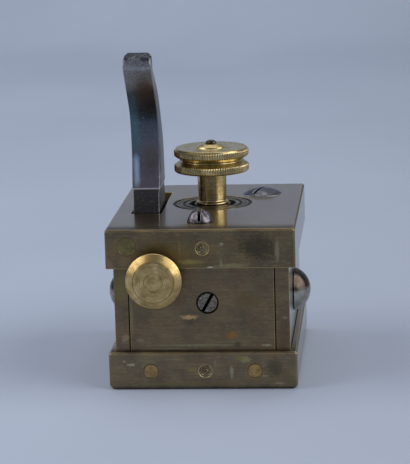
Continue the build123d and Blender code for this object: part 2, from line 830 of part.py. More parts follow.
# Lever arbor: squared for the lever, round to the right, with a journal in each side plate
square_left = arm_left - 0.15
with BuildPart() as lever_arbor:
    with BuildSketch(side_plane(square_left, pivot_y, pivot_z)):
        Rectangle(arbor_square, arbor_square)
    extrude(amount=sector_right - square_left)
    with BuildSketch(side_plane(sector_right, pivot_y, pivot_z)):
        Circle(arbor_radius)
    extrude(amount=inner_x - end_play - sector_right)
    with BuildSketch(side_plane(-body_width / 2 - dome_gap / 2, pivot_y, pivot_z)):
        Circle(journal_radius)
    extrude(amount=body_width + dome_gap)
    with BuildSketch(side_plane(-body_width / 2 - dome_stub, pivot_y, pivot_z)):
        Circle(journal_radius - 0.3)
    extrude(amount=body_width + 2 * dome_stub)
    with BuildSketch(front_plane(pivot_y - arbor_radius)):
        with Locations((top_screw_x, pivot_z)):
            Circle(crank_pin_radius + pin_fit)
    extrude(amount=-2 * arbor_radius, mode=Mode.SUBTRACT)
lever_arbor.part.label = "lever_arbor"
export_step(lever_arbor.part, "parts/lever_arbor.step")


# Domed caps screwed on the arbor's ends outside the side plates
def dome(side):
    """Domed cap on side -1 or +1."""
    sphere = (dome_radius**2 + dome_height**2) / (2 * dome_height)
    with BuildPart() as cap:
        with BuildSketch(Plane.XZ):
            with BuildLine():
                Line((0, 0), (dome_radius, 0))
                RadiusArc((dome_radius, 0), (0, dome_height), -sphere)
                Line((0, dome_height), (0, 0))
            make_face()
        revolve(axis=Axis.Z)
        with BuildSketch():
            Circle(journal_radius - 0.3 + pin_fit)
        extrude(amount=dome_stub, mode=Mode.SUBTRACT)
    cap.part.locate(Location((side * (body_width / 2 + dome_gap), pivot_y, pivot_z), (0, side * 90, 0)))
    return cap


left_dome = dome(-1)
left_dome.part.label = "left_dome"
export_step(left_dome.part, "parts/left_dome.step")

right_dome = dome(1)
right_dome.part.label = "right_dome"
export_step(right_dome.part, "parts/right_dome.step")

# Crank pinned on the arbor, whose tip lifts the mainspring when the lever is drawn back
crank_left = top_screw_x - crank_width / 2
crank_angle = 180.0 - crank_rise
crank_y = pivot_y + crank_reach * cos(radians(crank_angle))
crank_z = pivot_z + crank_reach * sin(radians(crank_angle))
with BuildPart() as spring_crank:
    with BuildSketch(side_plane(crank_left, pivot_y, pivot_z, crank_angle)):
        with BuildLine():
            Polyline(
                (0, -crank_hub),
                (crank_reach, -crank_tip),
                (crank_reach, crank_tip),
                (0, crank_hub),
                close=True,
            )
        make_face()
        Circle(crank_hub)
        with Locations((crank_reach, 0)):
            Circle(crank_tip)
        Circle(arbor_radius + pin_fit, mode=Mode.SUBTRACT)
    extrude(amount=crank_width)
    with BuildSketch(front_plane(pivot_y - 2 * crank_reach)):
        with Locations((top_screw_x, pivot_z)):
            Circle(crank_pin_radius + pin_fit)
    extrude(amount=-4 * crank_reach, mode=Mode.SUBTRACT)
spring_crank.part.label = "spring_crank"
export_step(spring_crank.part, "parts/spring_crank.step")

with BuildPart() as crank_pin:
    with BuildSketch(front_plane(pivot_y - crank_hub)):
        with Locations((top_screw_x, pivot_z)):
            Circle(crank_pin_radius)
    extrude(amount=-2 * crank_hub)
crank_pin.part.label = "crank_pin"
export_step(crank_pin.part, "parts/crank_pin.step")

# Mainspring: a leaf clamped under the lid, bent round the front bridge onto the crank
leaf_top = plate_top - mainspring_leaf / 2
leaf_front = -inner_y + mainspring_leaf / 2 + 0.35
leaf_knee = plate_top - bridge_height - knee_drop
tip_z = crank_z + crank_tip + mainspring_leaf / 2 + 0.25
with BuildPart() as mainspring:
    with BuildSketch(side_plane(top_screw_x - mainspring_width / 2)):
        with BuildLine():
            FilletPolyline(
                (top_screw_y + 5.3, leaf_top),
                (leaf_front, leaf_top),
                (leaf_front, leaf_knee),
                (crank_y + 1.6, tip_z),
                radius=mainspring_bend,
            )
        trace(line_width=mainspring_leaf)
    extrude(amount=mainspring_width)
    with BuildSketch(Plane.XY.offset(plate_top)):
        with Locations((top_screw_x, top_screw_y)):
            Circle(shank_radius + pin_fit)
    extrude(amount=-1.5 * mainspring_leaf, mode=Mode.SUBTRACT)
mainspring.part.label = "mainspring"
export_step(mainspring.part, "parts/mainspring.step")


# Lancet arbors: a square bar with a journal in each side plate
def lancet_arbor(y):
    """Arbor of one row of lancets."""
    bar = inner_x - end_play
    with BuildPart() as arbor:
        with BuildSketch(side_plane(-bar, y, arbor_z)):
            Rectangle(lancet_square, lancet_square)
        extrude(amount=2 * bar)
        with BuildSketch(side_plane(-inner_x - lancet_journal_length, y, arbor_z)):
            Circle(lancet_journal)
        extrude(amount=2 * (inner_x + lancet_journal_length))
    return arbor


front_arbor = lancet_arbor(front_y)
front_arbor.part.label = "front_arbor"
export_step(front_arbor.part, "parts/front_arbor.step")

rear_arbor = lancet_arbor(rear_y)
rear_arbor.part.label = "rear_arbor"
export_step(rear_arbor.part, "parts/rear_arbor.step")


def lancet(x, y):
    """One lancet: a squared hub and a crescent blade that points to the front at rest."""
    with BuildPart() as blade:
        with BuildSketch(side_plane(x - lancet_thickness / 2, y, arbor_z, 180.0)):
            with BuildLine():
                Line((-0.6, 2.2), (1.4, 2.2))
                ThreePointArc((1.4, 2.2), (7.0, 1.7), (lancet_reach, 0))
                ThreePointArc((lancet_reach, 0), (7.6, -2.7), (2.2, -2.4))
                Line((2.2, -2.4), (-0.6, -2.2))
                Line((-0.6, -2.2), (-0.6, 2.2))
            make_face()
            Circle(lancet_hub)
            Rectangle(lancet_square + square_fit, lancet_square + square_fit, mode=Mode.SUBTRACT)
        extrude(amount=lancet_thickness)
    return blade


for row, row_y, places in (("front", front_y, front_lancets), ("rear", rear_y, rear_lancets)):
    for number, x in enumerate(places, start=1):
        blade = lancet(x, row_y)
        blade.part.label = f"{row}_lancet_{number}"
        export_step(blade.part, f"parts/{row}_lancet_{number}.step")


def spacers(y, held):
    """Tubes that fill an arbor between the pieces held on it, given as (left, right) pairs."""
    edges = [-inner_x + end_play]
    for left, right in held:
        edges += [left, right]
    edges.append(inner_x - end_play)
    with BuildPart() as tubes:
        for left, right in zip(edges[0::2], edges[1::2]):
            with BuildSketch(side_plane(left, y, arbor_z)):
                Circle(spacer_radius)
                Circle(spacer_bore, mode=Mode.SUBTRACT)
            extrude(amount=right - left - 0.02)
    return tubes


half_blade = lancet_thickness / 2 + 0.01
train_right = train_left + train_thickness + 0.02
front_held = [(x - half_blade, x + half_blade) for x in front_lancets] + [(train_left - 0.02, train_right)]
pinion_held = [(sector_left - 0.3, sector_right + 0.1)]
rear_held = pinion_held + [(x - half_blade, x + half_blade) for x in rear_lancets]
rear_held = rear_held + [(train_left - 0.02, train_right)]

front_spacers = spacers(front_y, front_held)
front_spacers.part.label = "front_spacers"
export_step(front_spacers.part, "parts/front_spacers.step")

rear_spacers = spacers(rear_y, rear_held)
rear_spacers.part.label = "rear_spacers"
export_step(rear_spacers.part, "parts/rear_spacers.step")

# Pinion on the rear arbor, in mesh with the sector
pinion_tooth = mesh_angle + 180.0 + 180.0 / pinion_leaves
with BuildPart() as rear_pinion:
    with BuildSketch(side_plane(sector_left - 0.28, rear_y, arbor_z)):
        with BuildLine():
            draw_teeth(pinion_leaves, pinion_leaves, meshing_addendum, pinion_dedendum, pinion_tooth, True)
        make_face()
        Rectangle(lancet_square + square_fit, lancet_square + square_fit, mode=Mode.SUBTRACT)
    extrude(amount=sector_thickness + 0.36)
rear_pinion.part.label = "rear_pinion"
export_step(rear_pinion.part, "parts/rear_pinion.step")

# Train on the right: rear wheel, idler on its stud and front wheel, all alike
half_tooth = 180.0 / train_teeth


def train_wheel(y, first_angle, bore):
    """Wheel of the train; bore 0 is squared for its arbor."""
    with BuildPart() as wheel:
        with BuildSketch(side_plane(train_left, y, arbor_z)):
            with BuildLine():
                draw_teeth(train_teeth, train_teeth, meshing_addendum, wheel_dedendum, first_angle, True)
            make_face()
            if bore:
                Circle(bore, mode=Mode.SUBTRACT)
            else:
                Rectangle(lancet_square + square_fit, lancet_square + square_fit, mode=Mode.SUBTRACT)
        extrude(amount=train_thickness)
    return wheel


rear_wheel = train_wheel(rear_y, 180.0, 0)
rear_wheel.part.label = "rear_wheel"
export_step(rear_wheel.part, "parts/rear_wheel.step")

idler_wheel = train_wheel(idler_y, half_tooth, idler_stud_radius + running_fit)
idler_wheel.part.label = "idler_wheel"
export_step(idler_wheel.part, "parts/idler_wheel.step")

front_wheel = train_wheel(front_y, 0.0, 0)
front_wheel.part.label = "front_wheel"
export_step(front_wheel.part, "parts/front_wheel.step")

with BuildPart() as idler_stud:
    with BuildSketch(side_plane(train_left - 0.4, idler_y, arbor_z)):
        Circle(idler_head)
    extrude(amount=0.35)
    with BuildSketch(side_plane(train_left - 0.4, idler_y, arbor_z)):
        Circle(idler_stud_radius)
    extrude(amount=inner_x + lancet_journal_length - 0.1 - train_left + 0.4)
    with BuildSketch(side_plane(train_right + 0.03, idler_y, arbor_z)):
        Circle(idler_shoulder)
    extrude(amount=inner_x - train_right - 0.03)
idler_stud.part.label = "idler_stud"
export_step(idler_stud.part, "parts/idler_stud.step")

# Trigger: a bevelled brass head riveted on a stem through the front plate
head_back = case_front - trigger_stand
head_front = head_back - trigger_skirt - trigger_bevel
with BuildPart() as trigger_head:
    with BuildSketch(front_plane(head_back)):
        with Locations((trigger_x, trigger_z)):
            Circle(trigger_radius)
    extrude(amount=trigger_skirt + trigger_bevel)
    chamfer(trigger_head.faces().sort_by(Axis.Y)[0].edges(), trigger_bevel)
    with BuildSketch(front_plane(head_back)):
        with Locations((trigger_x, trigger_z)):
            Circle(trigger_stem_radius + pin_fit)
    extrude(amount=trigger_skirt + trigger_bevel, mode=Mode.SUBTRACT)
trigger_head.part.label = "trigger_head"
export_step(trigger_head.part, "parts/trigger_head.step")

# Stem, ending just short of the sear's upper arm
arm_front = sear_y - sear_hub
stem_end = arm_front - trigger_play
with BuildPart() as trigger_stem:
    with BuildSketch(front_plane(head_front + stem_dent)):
        with Locations((trigger_x, trigger_z)):
            Circle(trigger_stem_radius)
    extrude(amount=head_front + stem_dent - stem_end + nib_length)
    with BuildSketch(front_plane(stem_end - nib_length)):
        with Locations((trigger_x, trigger_z)):
            Circle(nib_radius)
    extrude(amount=-nib_length)
trigger_stem.part.label = "trigger_stem"
export_step(trigger_stem.part, "parts/trigger_stem.step")

# Collar that keeps the stem in the case
collar_face = -inner_y + trigger_out + collar_play
with BuildPart() as trigger_collar:
    with BuildSketch(front_plane(collar_face)):
        with Locations((trigger_x, trigger_z)):
            Circle(trigger_collar_radius)
            Circle(trigger_stem_radius + pin_fit, mode=Mode.SUBTRACT)
    extrude(amount=-trigger_collar_length)
trigger_collar.part.label = "trigger_collar"
export_step(trigger_collar.part, "parts/trigger_collar.step")

# Sear: a bell crank whose nose catches the sector's rim when the lever is drawn back
sear_left = sector_left - 1.3
nose_tip = sear_angle - nose_half
nose_heel = sear_angle + nose_half
nose_radius = rim_outer + sear_gap


def nose_point(angle):
    """Corner of the sear's nose at an angle about the lever's pivot."""
    return (
        pivot_y + nose_radius * cos(radians(angle)),
        pivot_z + nose_radius * sin(radians(angle)),
    )


nose_back = sear_y + nose_setback
with BuildPart() as sear:
    with BuildSketch(side_plane(sear_left, sear_y, sear_z)):
        Circle(sear_hub)
        with BuildLine():
            Polyline(
                (-sear_hub, 0),
                (-sear_hub, sear_rise),
                (-sear_hub + sear_arm, sear_rise),
                (0.4, 0),
                close=True,
            )
        make_face()
        Circle(sear_pin_radius + running_fit, mode=Mode.SUBTRACT)
    extrude(amount=sear_width)
    with BuildSketch(side_plane(sear_left)):
        with BuildLine():
            Polyline(
                (sear_y - 1.1, sear_z - 0.7),
                (sear_y - 0.4, pivot_z - 2.7),
                (sear_y + 3.0, pivot_z - 2.7),
                nose_point(nose_heel),
                nose_point(nose_tip),
                (nose_back, pivot_z - 0.25),
                (sear_y + 1.5, sear_z - 0.6),
                close=True,
            )
        make_face()
        with Locations((sear_y, sear_z)):
            Circle(sear_pin_radius + running_fit, mode=Mode.SUBTRACT)
    extrude(amount=sector_right - sear_left)
sear.part.label = "sear"
export_step(sear.part, "parts/sear.step")

# Plate inside the front that carries the sear between two ears
ear_left = sear_left - ear_thickness - 0.1
ear_right = sear_left + sear_width + 0.1
plate_right = front_screw_x + 2.85
with BuildPart() as trigger_plate:
    with BuildSketch(front_plane(-inner_y)):
        with Locations(((ear_left + plate_right) / 2, (trigger_plate_bottom + trigger_plate_top) / 2)):
            Rectangle(plate_right - ear_left, trigger_plate_top - trigger_plate_bottom)
        with Locations((front_screw_x, front_screw_z)):
            Circle(shank_radius + pin_fit, mode=Mode.SUBTRACT)
    extrude(amount=-trigger_plate_thickness)
    for ear in (ear_left, ear_right):
        with BuildSketch(side_plane(ear)):
            with Locations(((-inner_y + sear_y + sear_hub) / 2, sear_z)):
                Rectangle(sear_y + sear_hub + inner_y, 2 * sear_hub)
        extrude(amount=ear_thickness)
    with BuildSketch(front_plane(-inner_y + trigger_plate_thickness)):
        with Locations((sear_screw_x, trigger_plate_bottom + leaf_rise)):
            Circle(sear_screw_radius + pin_fit)
    extrude(amount=1.9, mode=Mode.SUBTRACT)
    with BuildSketch(side_plane(ear_left)):
        with Locations((sear_y, sear_z)):
            Circle(sear_pin_radius + pin_fit)
    extrude(amount=ear_right + ear_thickness - ear_left, mode=Mode.SUBTRACT)
trigger_plate.part.label = "trigger_plate"
export_step(trigger_plate.part, "parts/trigger_plate.step")

with BuildPart() as sear_pin:
    with BuildSketch(side_plane(ear_left, sear_y, sear_z)):
        Circle(sear_pin_radius)
    extrude(amount=ear_right + ear_thickness - ear_left)
sear_pin.part.label = "sear_pin"
export_step(sear_pin.part, "parts/sear_pin.step")

# Countersunk screw that holds the plate, its slot leaning to the right
with BuildPart() as front_plate_screw:
    with BuildSketch(front_plane(body_front)):
        with Locations((front_screw_x, front_screw_z)):
            Circle(front_screw_radius)
    extrude(amount=-front_screw_head)
    fillet(front_plate_screw.faces().sort_by(Axis.Y)[0].edges(), 0.3)
    with BuildSketch(front_plane(body_front)):
        with Locations((front_screw_x, front_screw_z)):
            Rectangle(driver_slot, 3 * front_screw_radius, rotation=-30)
    extrude(amount=-0.5, mode=Mode.SUBTRACT)
    with BuildSketch(front_plane(body_front + front_screw_head)):
        with Locations((front_screw_x, front_screw_z)):
            Circle(shank_radius)
    extrude(amount=-(end_plate + trigger_plate_thickness - front_screw_head - 0.1))
front_plate_screw.part.label = "front_plate_screw"
export_step(front_plate_screw.part, "parts/front_plate_screw.step")

# Leaf spring that presses the sear's lower arm back, held by a small screw
leaf_z = trigger_plate_bottom + leaf_rise
leaf_face = -inner_y + trigger_plate_thickness
leaf_middle = leaf_face + 0.03 + sear_leaf / 2
with BuildPart() as sear_spring:
    with BuildSketch(Plane.XY.offset(leaf_z - sear_leaf_height / 2)):
        with BuildLine():
            Line((front_screw_x + 1.5, leaf_middle), (front_screw_x - 3.0, leaf_middle))
            ThreePointArc(
                (front_screw_x - 3.0, leaf_middle),
                (front_screw_x - 8.0, leaf_middle + 0.28),
                (sear_left + 2.4, sear_y - 1.0 - sear_leaf / 2 - 0.1),
            )
        trace(line_width=sear_leaf)
    extrude(amount=sear_leaf_height)
    with BuildSketch(front_plane(leaf_face)):
        with Locations((sear_screw_x, leaf_z)):
            Circle(sear_screw_radius + pin_fit)
    extrude(amount=-2.0, mode=Mode.SUBTRACT)
sear_spring.part.label = "sear_spring"
export_step(sear_spring.part, "parts/sear_spring.step")

with BuildPart() as sear_screw:
    with BuildSketch(front_plane(leaf_face + 0.03 + sear_leaf + 0.03)):
        with Locations((sear_screw_x, leaf_z)):
            Circle(2 * sear_screw_radius)
    extrude(amount=-0.6)
    with BuildSketch(front_plane(leaf_face + 0.03 + sear_leaf + 0.03)):
        with Locations((sear_screw_x, leaf_z)):
            Circle(sear_screw_radius)
    extrude(amount=1.8)
sear_screw.part.label = "sear_screw"
export_step(sear_screw.part, "parts/sear_screw.step")
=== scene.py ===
import json
import math
import bpy
import numpy as np
from mathutils import Matrix, Vector


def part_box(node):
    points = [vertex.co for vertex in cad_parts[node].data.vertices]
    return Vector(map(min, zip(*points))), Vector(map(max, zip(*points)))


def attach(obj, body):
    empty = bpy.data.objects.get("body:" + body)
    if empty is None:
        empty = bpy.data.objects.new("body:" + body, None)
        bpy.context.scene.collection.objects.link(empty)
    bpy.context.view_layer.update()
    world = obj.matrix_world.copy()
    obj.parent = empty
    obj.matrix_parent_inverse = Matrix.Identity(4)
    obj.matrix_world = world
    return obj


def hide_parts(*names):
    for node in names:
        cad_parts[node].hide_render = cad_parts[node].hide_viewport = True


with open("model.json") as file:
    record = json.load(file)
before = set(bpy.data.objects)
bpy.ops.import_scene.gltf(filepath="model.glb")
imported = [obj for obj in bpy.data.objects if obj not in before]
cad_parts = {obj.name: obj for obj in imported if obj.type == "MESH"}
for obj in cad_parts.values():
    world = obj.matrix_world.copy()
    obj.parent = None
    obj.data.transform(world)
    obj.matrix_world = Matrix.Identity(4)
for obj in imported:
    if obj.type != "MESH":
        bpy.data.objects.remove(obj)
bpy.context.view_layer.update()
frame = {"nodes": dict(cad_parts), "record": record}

nodes = frame["nodes"]
slotOf = {entry["node"]: entry["material_slot"] for entry in frame["record"]["subparts"]}
mm = 0.001
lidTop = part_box("lid")[1][2] / mm  # the lid's upper face, in mm above the table


def middle(name, axis):
    # middle of a CAD node's box along one axis, in mm
    low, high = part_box(name)
    return (low[axis] + high[axis]) / 2 / mm


def hexToLinear(value):
    # sRGB hex to linear RGBA
    channels = [int(value[i:i + 2], 16) / 255 for i in (1, 3, 5)]
    linear = [c / 12.92 if c <= 0.04045 else ((c + 0.055) / 1.055) ** 2.4 for c in channels]
    return (*linear, 1.0)


def addNode(tree, kind, settings=None, links=None, output=0):
    # one shader node: settings are its options, colour stops or input values, links feed its inputs;
    # gives back one of its outputs, or all of them where output is None
    item = tree.nodes.new("ShaderNode" + kind)
    for name, value in (settings or {}).items():
        value = hexToLinear(value) if isinstance(value, str) and value.startswith("#") else value
        if name == "stops":
            for step, (position, colour) in enumerate(value):
                if step > 1:
                    item.color_ramp.elements.new(position)
                item.color_ramp.elements[step].position = position
                item.color_ramp.elements[step].color = hexToLinear(colour)
        elif isinstance(name, str) and hasattr(item, name):
            setattr(item, name, value)
        else:
            item.inputs[name].default_value = value
    for name, source in (links or {}).items():
        tree.links.new(source, item.inputs[name])
    return item.outputs[output] if output is not None and len(item.outputs) else item.outputs


def startMaterial(name):
    # a named material with nothing in it, and the object coordinates that every pattern reads
    material = bpy.data.materials.new(name)
    material.use_nodes = True
    tree = material.node_tree
    tree.nodes.clear()
    return material, tree, addNode(tree, "TexCoord", output="Object")


def reachFrom(tree, place, centre, size):
    # distance from a centre, counted in one size for each axis, for round and oval patches
    spot = {"vector_type": "TEXTURE", "Location": centre, "Scale": size}
    local = addNode(tree, "Mapping", spot, {"Vector": place})
    return addNode(tree, "VectorMath", {"operation": "LENGTH"}, {0: local}, "Value")


product, larger = {"operation": "MULTIPLY"}, {"operation": "MAXIMUM"}
# black of the seams: dirt in the joints, and painted shade in hollows and slots
seamDirtAndShadeTone = "#0c0906"
lacquerRoughness = 0.07
steelEdgeRadius, sawnEdgeRadius = 0.16, 0.12  # mm


def finishMetal(tree, colour, layers, roughness, height, depth, edge, edgeRadius, dirtAndShade=None, gloss=None):
    # Metal shader: a base colour under layers of (amount, tone), with a bump depth mm deep. A Bevel node
    # rounds the corners in the shading by edgeRadius mm; where it turns the normal, the metal is rubbed
    # to the edge colour. The seam mask, from 0 to 1, is painted black: dirt in the joints, and painted shade
    # in hollows and slots. Gloss, from 0 to 1, is old lacquer and wax.
    rounded = addNode(tree, "Bevel", {"samples": 6, "Radius": edgeRadius * mm})
    flat = addNode(tree, "NewGeometry", output="Normal")
    compare = {"operation": "DOT_PRODUCT"}
    likeness = addNode(tree, "VectorMath", compare, {0: rounded, 1: flat}, "Value")
    rub = {"From Min": 0.985, "From Max": 0.86, "To Max": 0.85}
    rubbed = addNode(tree, "MapRange", rub, {"Value": likeness})
    layers = [*layers, (rubbed, edge)] + ([(dirtAndShade, seamDirtAndShadeTone)] if dirtAndShade else [])
    for amount, tone in layers:
        colour = addNode(tree, "Mix", {"data_type": "RGBA", 7: tone}, {0: amount, 6: colour}, 2)
    bump = addNode(tree, "Bump", {"Distance": depth * mm}, {"Height": height, "Normal": rounded})
    links = {"Base Color": colour, "Roughness": roughness, "Normal": bump}
    if gloss:
        links.update({"Coat Weight": gloss, "Coat Normal": rounded})
    metal = {"Metallic": 1.0, "Coat Roughness": lacquerRoughness}
    shader = addNode(tree, "BsdfPrincipled", metal, links)
    addNode(tree, "OutputMaterial", None, {"Surface": shader})


# Lengths are in mm. Blotch, grain, pit and stain sizes are those of their patterns. Stains are given as
# (shift of the pattern, size, colour, strength), and marks, the worn or stained places on a front, as
# (x, z, half width, half height, colour, strength). The polish begins and is full, and the brown strip
# is full and ends, at distances behind the front edge.
lidLook = {
    "dark": "#655a49", "middle": "#7d6f57", "light": "#92815d", "polish": "#8c7549", "strip": "#463c2b",
    "edge": "#e6c889", "side": "#a8a298", "inside": "#c9b56e", "scuff": "#bfb18a", "gloss": 0.7,
    "front": -25.0, "frontDepth": 5.0, "blotch": 5.0, "grain": 0.16, "grainLength": 7.0, "pit": 0.45,
    "bumpDepth": 0.004, "rough": 0.44, "topRough": 0.3, "sideRough": 0.2, "edgeRadius": 0.32,
    "polishFrom": 3.2, "polishFull": 7.0, "stripFull": 3.6, "stripEnd": 5.6, "waver": 3.0,
    "stains": ((7.0, 2.6, "#946c4c", 0.45), (23.0, 3.3, "#7c7753", 0.4)),
    "dull": (-0.4, -21.6, 4.4, 2.6),  # a dull patch before the top screw: x, y, half width, half depth
    "seams": (),  # dirty joints beside the end plates: x, half width
    "sockets": (("lid_plug", 0.55),),  # nodes with a ring of dirt about each end: node, strength
    "ringGap": 0.06, "ringHalf": 0.18,  # from the node's edge to the ring's middle, and its half width
    "marks": (
        (-6.0, 27.0, 7.5, 3.6, "#7c6d41", 0.55), (-15.0, 29.7, 2.2, 1.7, "#8d8660", 0.6),
        (-18.2, 25.9, 0.9, 1.2, "#a08068", 0.8), (-14.9, 26.4, 1.1, 1.3, "#9a8064", 0.7),
        (11.4, 29.2, 3.6, 2.8, "#474134", 0.7), (15.4, 28.4, 0.45, 2.2, "#a89c7c", 0.7),
        (-1.9, 26.3, 2.4, 0.5, "#a5975f", 0.8), (2.1, 25.2, 0.7, 0.2, "#d6ccb4", 0.9),
        (6.2, 25.5, 2.9, 0.35, "#a39872", 0.8), (4.4, 29.9, 0.35, 0.3, "#b7ab90", 0.8),
        (4.2, 26.0, 0.3, 0.8, "#a89b72", 0.7), (5.6, 31.0, 0.9, 0.4, "#9b7c55", 0.5),
        (-4.0, 29.0, 0.2, 1.5, "#9c8c58", 0.5),
    ),
}
trayLook = dict(lidLook, marks=(
    (10.4, 3.8, 1.7, 1.5, "#a07c48", 0.75), (8.6, 6.3, 0.9, 0.7, "#aaa070", 0.8),
    (7.6, 6.6, 0.7, 0.6, "#98904e", 0.6), (5.8, 3.7, 0.35, 1.3, "#b3ab92", 0.75),
    (-14.5, 5.2, 0.8, 0.25, "#c0b698", 0.9), (12.4, 2.8, 0.8, 0.15, "#b3ab92", 0.8),
    (15.4, 1.3, 0.8, 0.13, "#c0b698", 0.8), (-2.2, 4.1, 0.8, 0.35, "#a58c50", 0.8),
    (-15.9, 5.9, 0.3, 0.3, "#b3ab92", 0.6), (-6.0, 1.2, 9.0, 0.5, "#8a7f55", 0.6),
    (14.5, 4.6, 1.6, 2.0, "#55503f", 0.6), (2.5, 5.4, 0.25, 0.8, "#a59a74", 0.5),
), dark="#6c6150", middle="#8a7a62", light="#9c8b68", edge="#e0cd98", edgeRadius=0.36,
    sockets=(("tray_studs", 0.55),))
frontLook = dict(lidLook, marks=(
    (-2.6, 14.7, 1.5, 0.45, "#d6b07c", 0.9), (5.9, 10.9, 1.3, 0.7, "#a87c42", 0.85),
    (9.2, 18.1, 2.8, 1.6, "#736340", 0.5), (-6.0, 18.5, 3.0, 1.6, "#6d5541", 0.5),
    (-10.5, 19.0, 2.0, 3.0, "#75664a", 0.5), (-1.0, 8.9, 9.0, 0.22, "#9a9470", 0.8),
    (-6.5, 8.2, 5.0, 0.16, "#a09a78", 0.7), (4.0, 9.6, 4.0, 0.14, "#8a8660", 0.6),
    (-12.6, 9.9, 0.8, 0.35, "#a5947a", 0.6), (12.8, 8.8, 0.9, 0.22, "#c4b896", 0.8),
    (-14.2, 15.0, 0.25, 4.0, "#a5976a", 0.5), (7.0, 9.0, 0.7, 0.5, "#4c4836", 0.6),
), dark="#685c4b", middle="#83735b", light="#927f60", edgeRadius=0.2, sockets=(("front_plate_screw", 0.9),))
sideLook = dict(frontLook, marks=(
    (-16.0, 21.0, 1.5, 3.5, "#8d8452", 0.6), (-15.6, 10.4, 0.8, 0.8, "#b09a72", 0.7),
    (16.2, 10.0, 1.4, 3.5, "#6e5946", 0.6), (16.6, 14.5, 0.5, 0.35, "#a89670", 0.6),
), seams=((14.68, 0.14), (-14.68, 0.14)), sockets=())


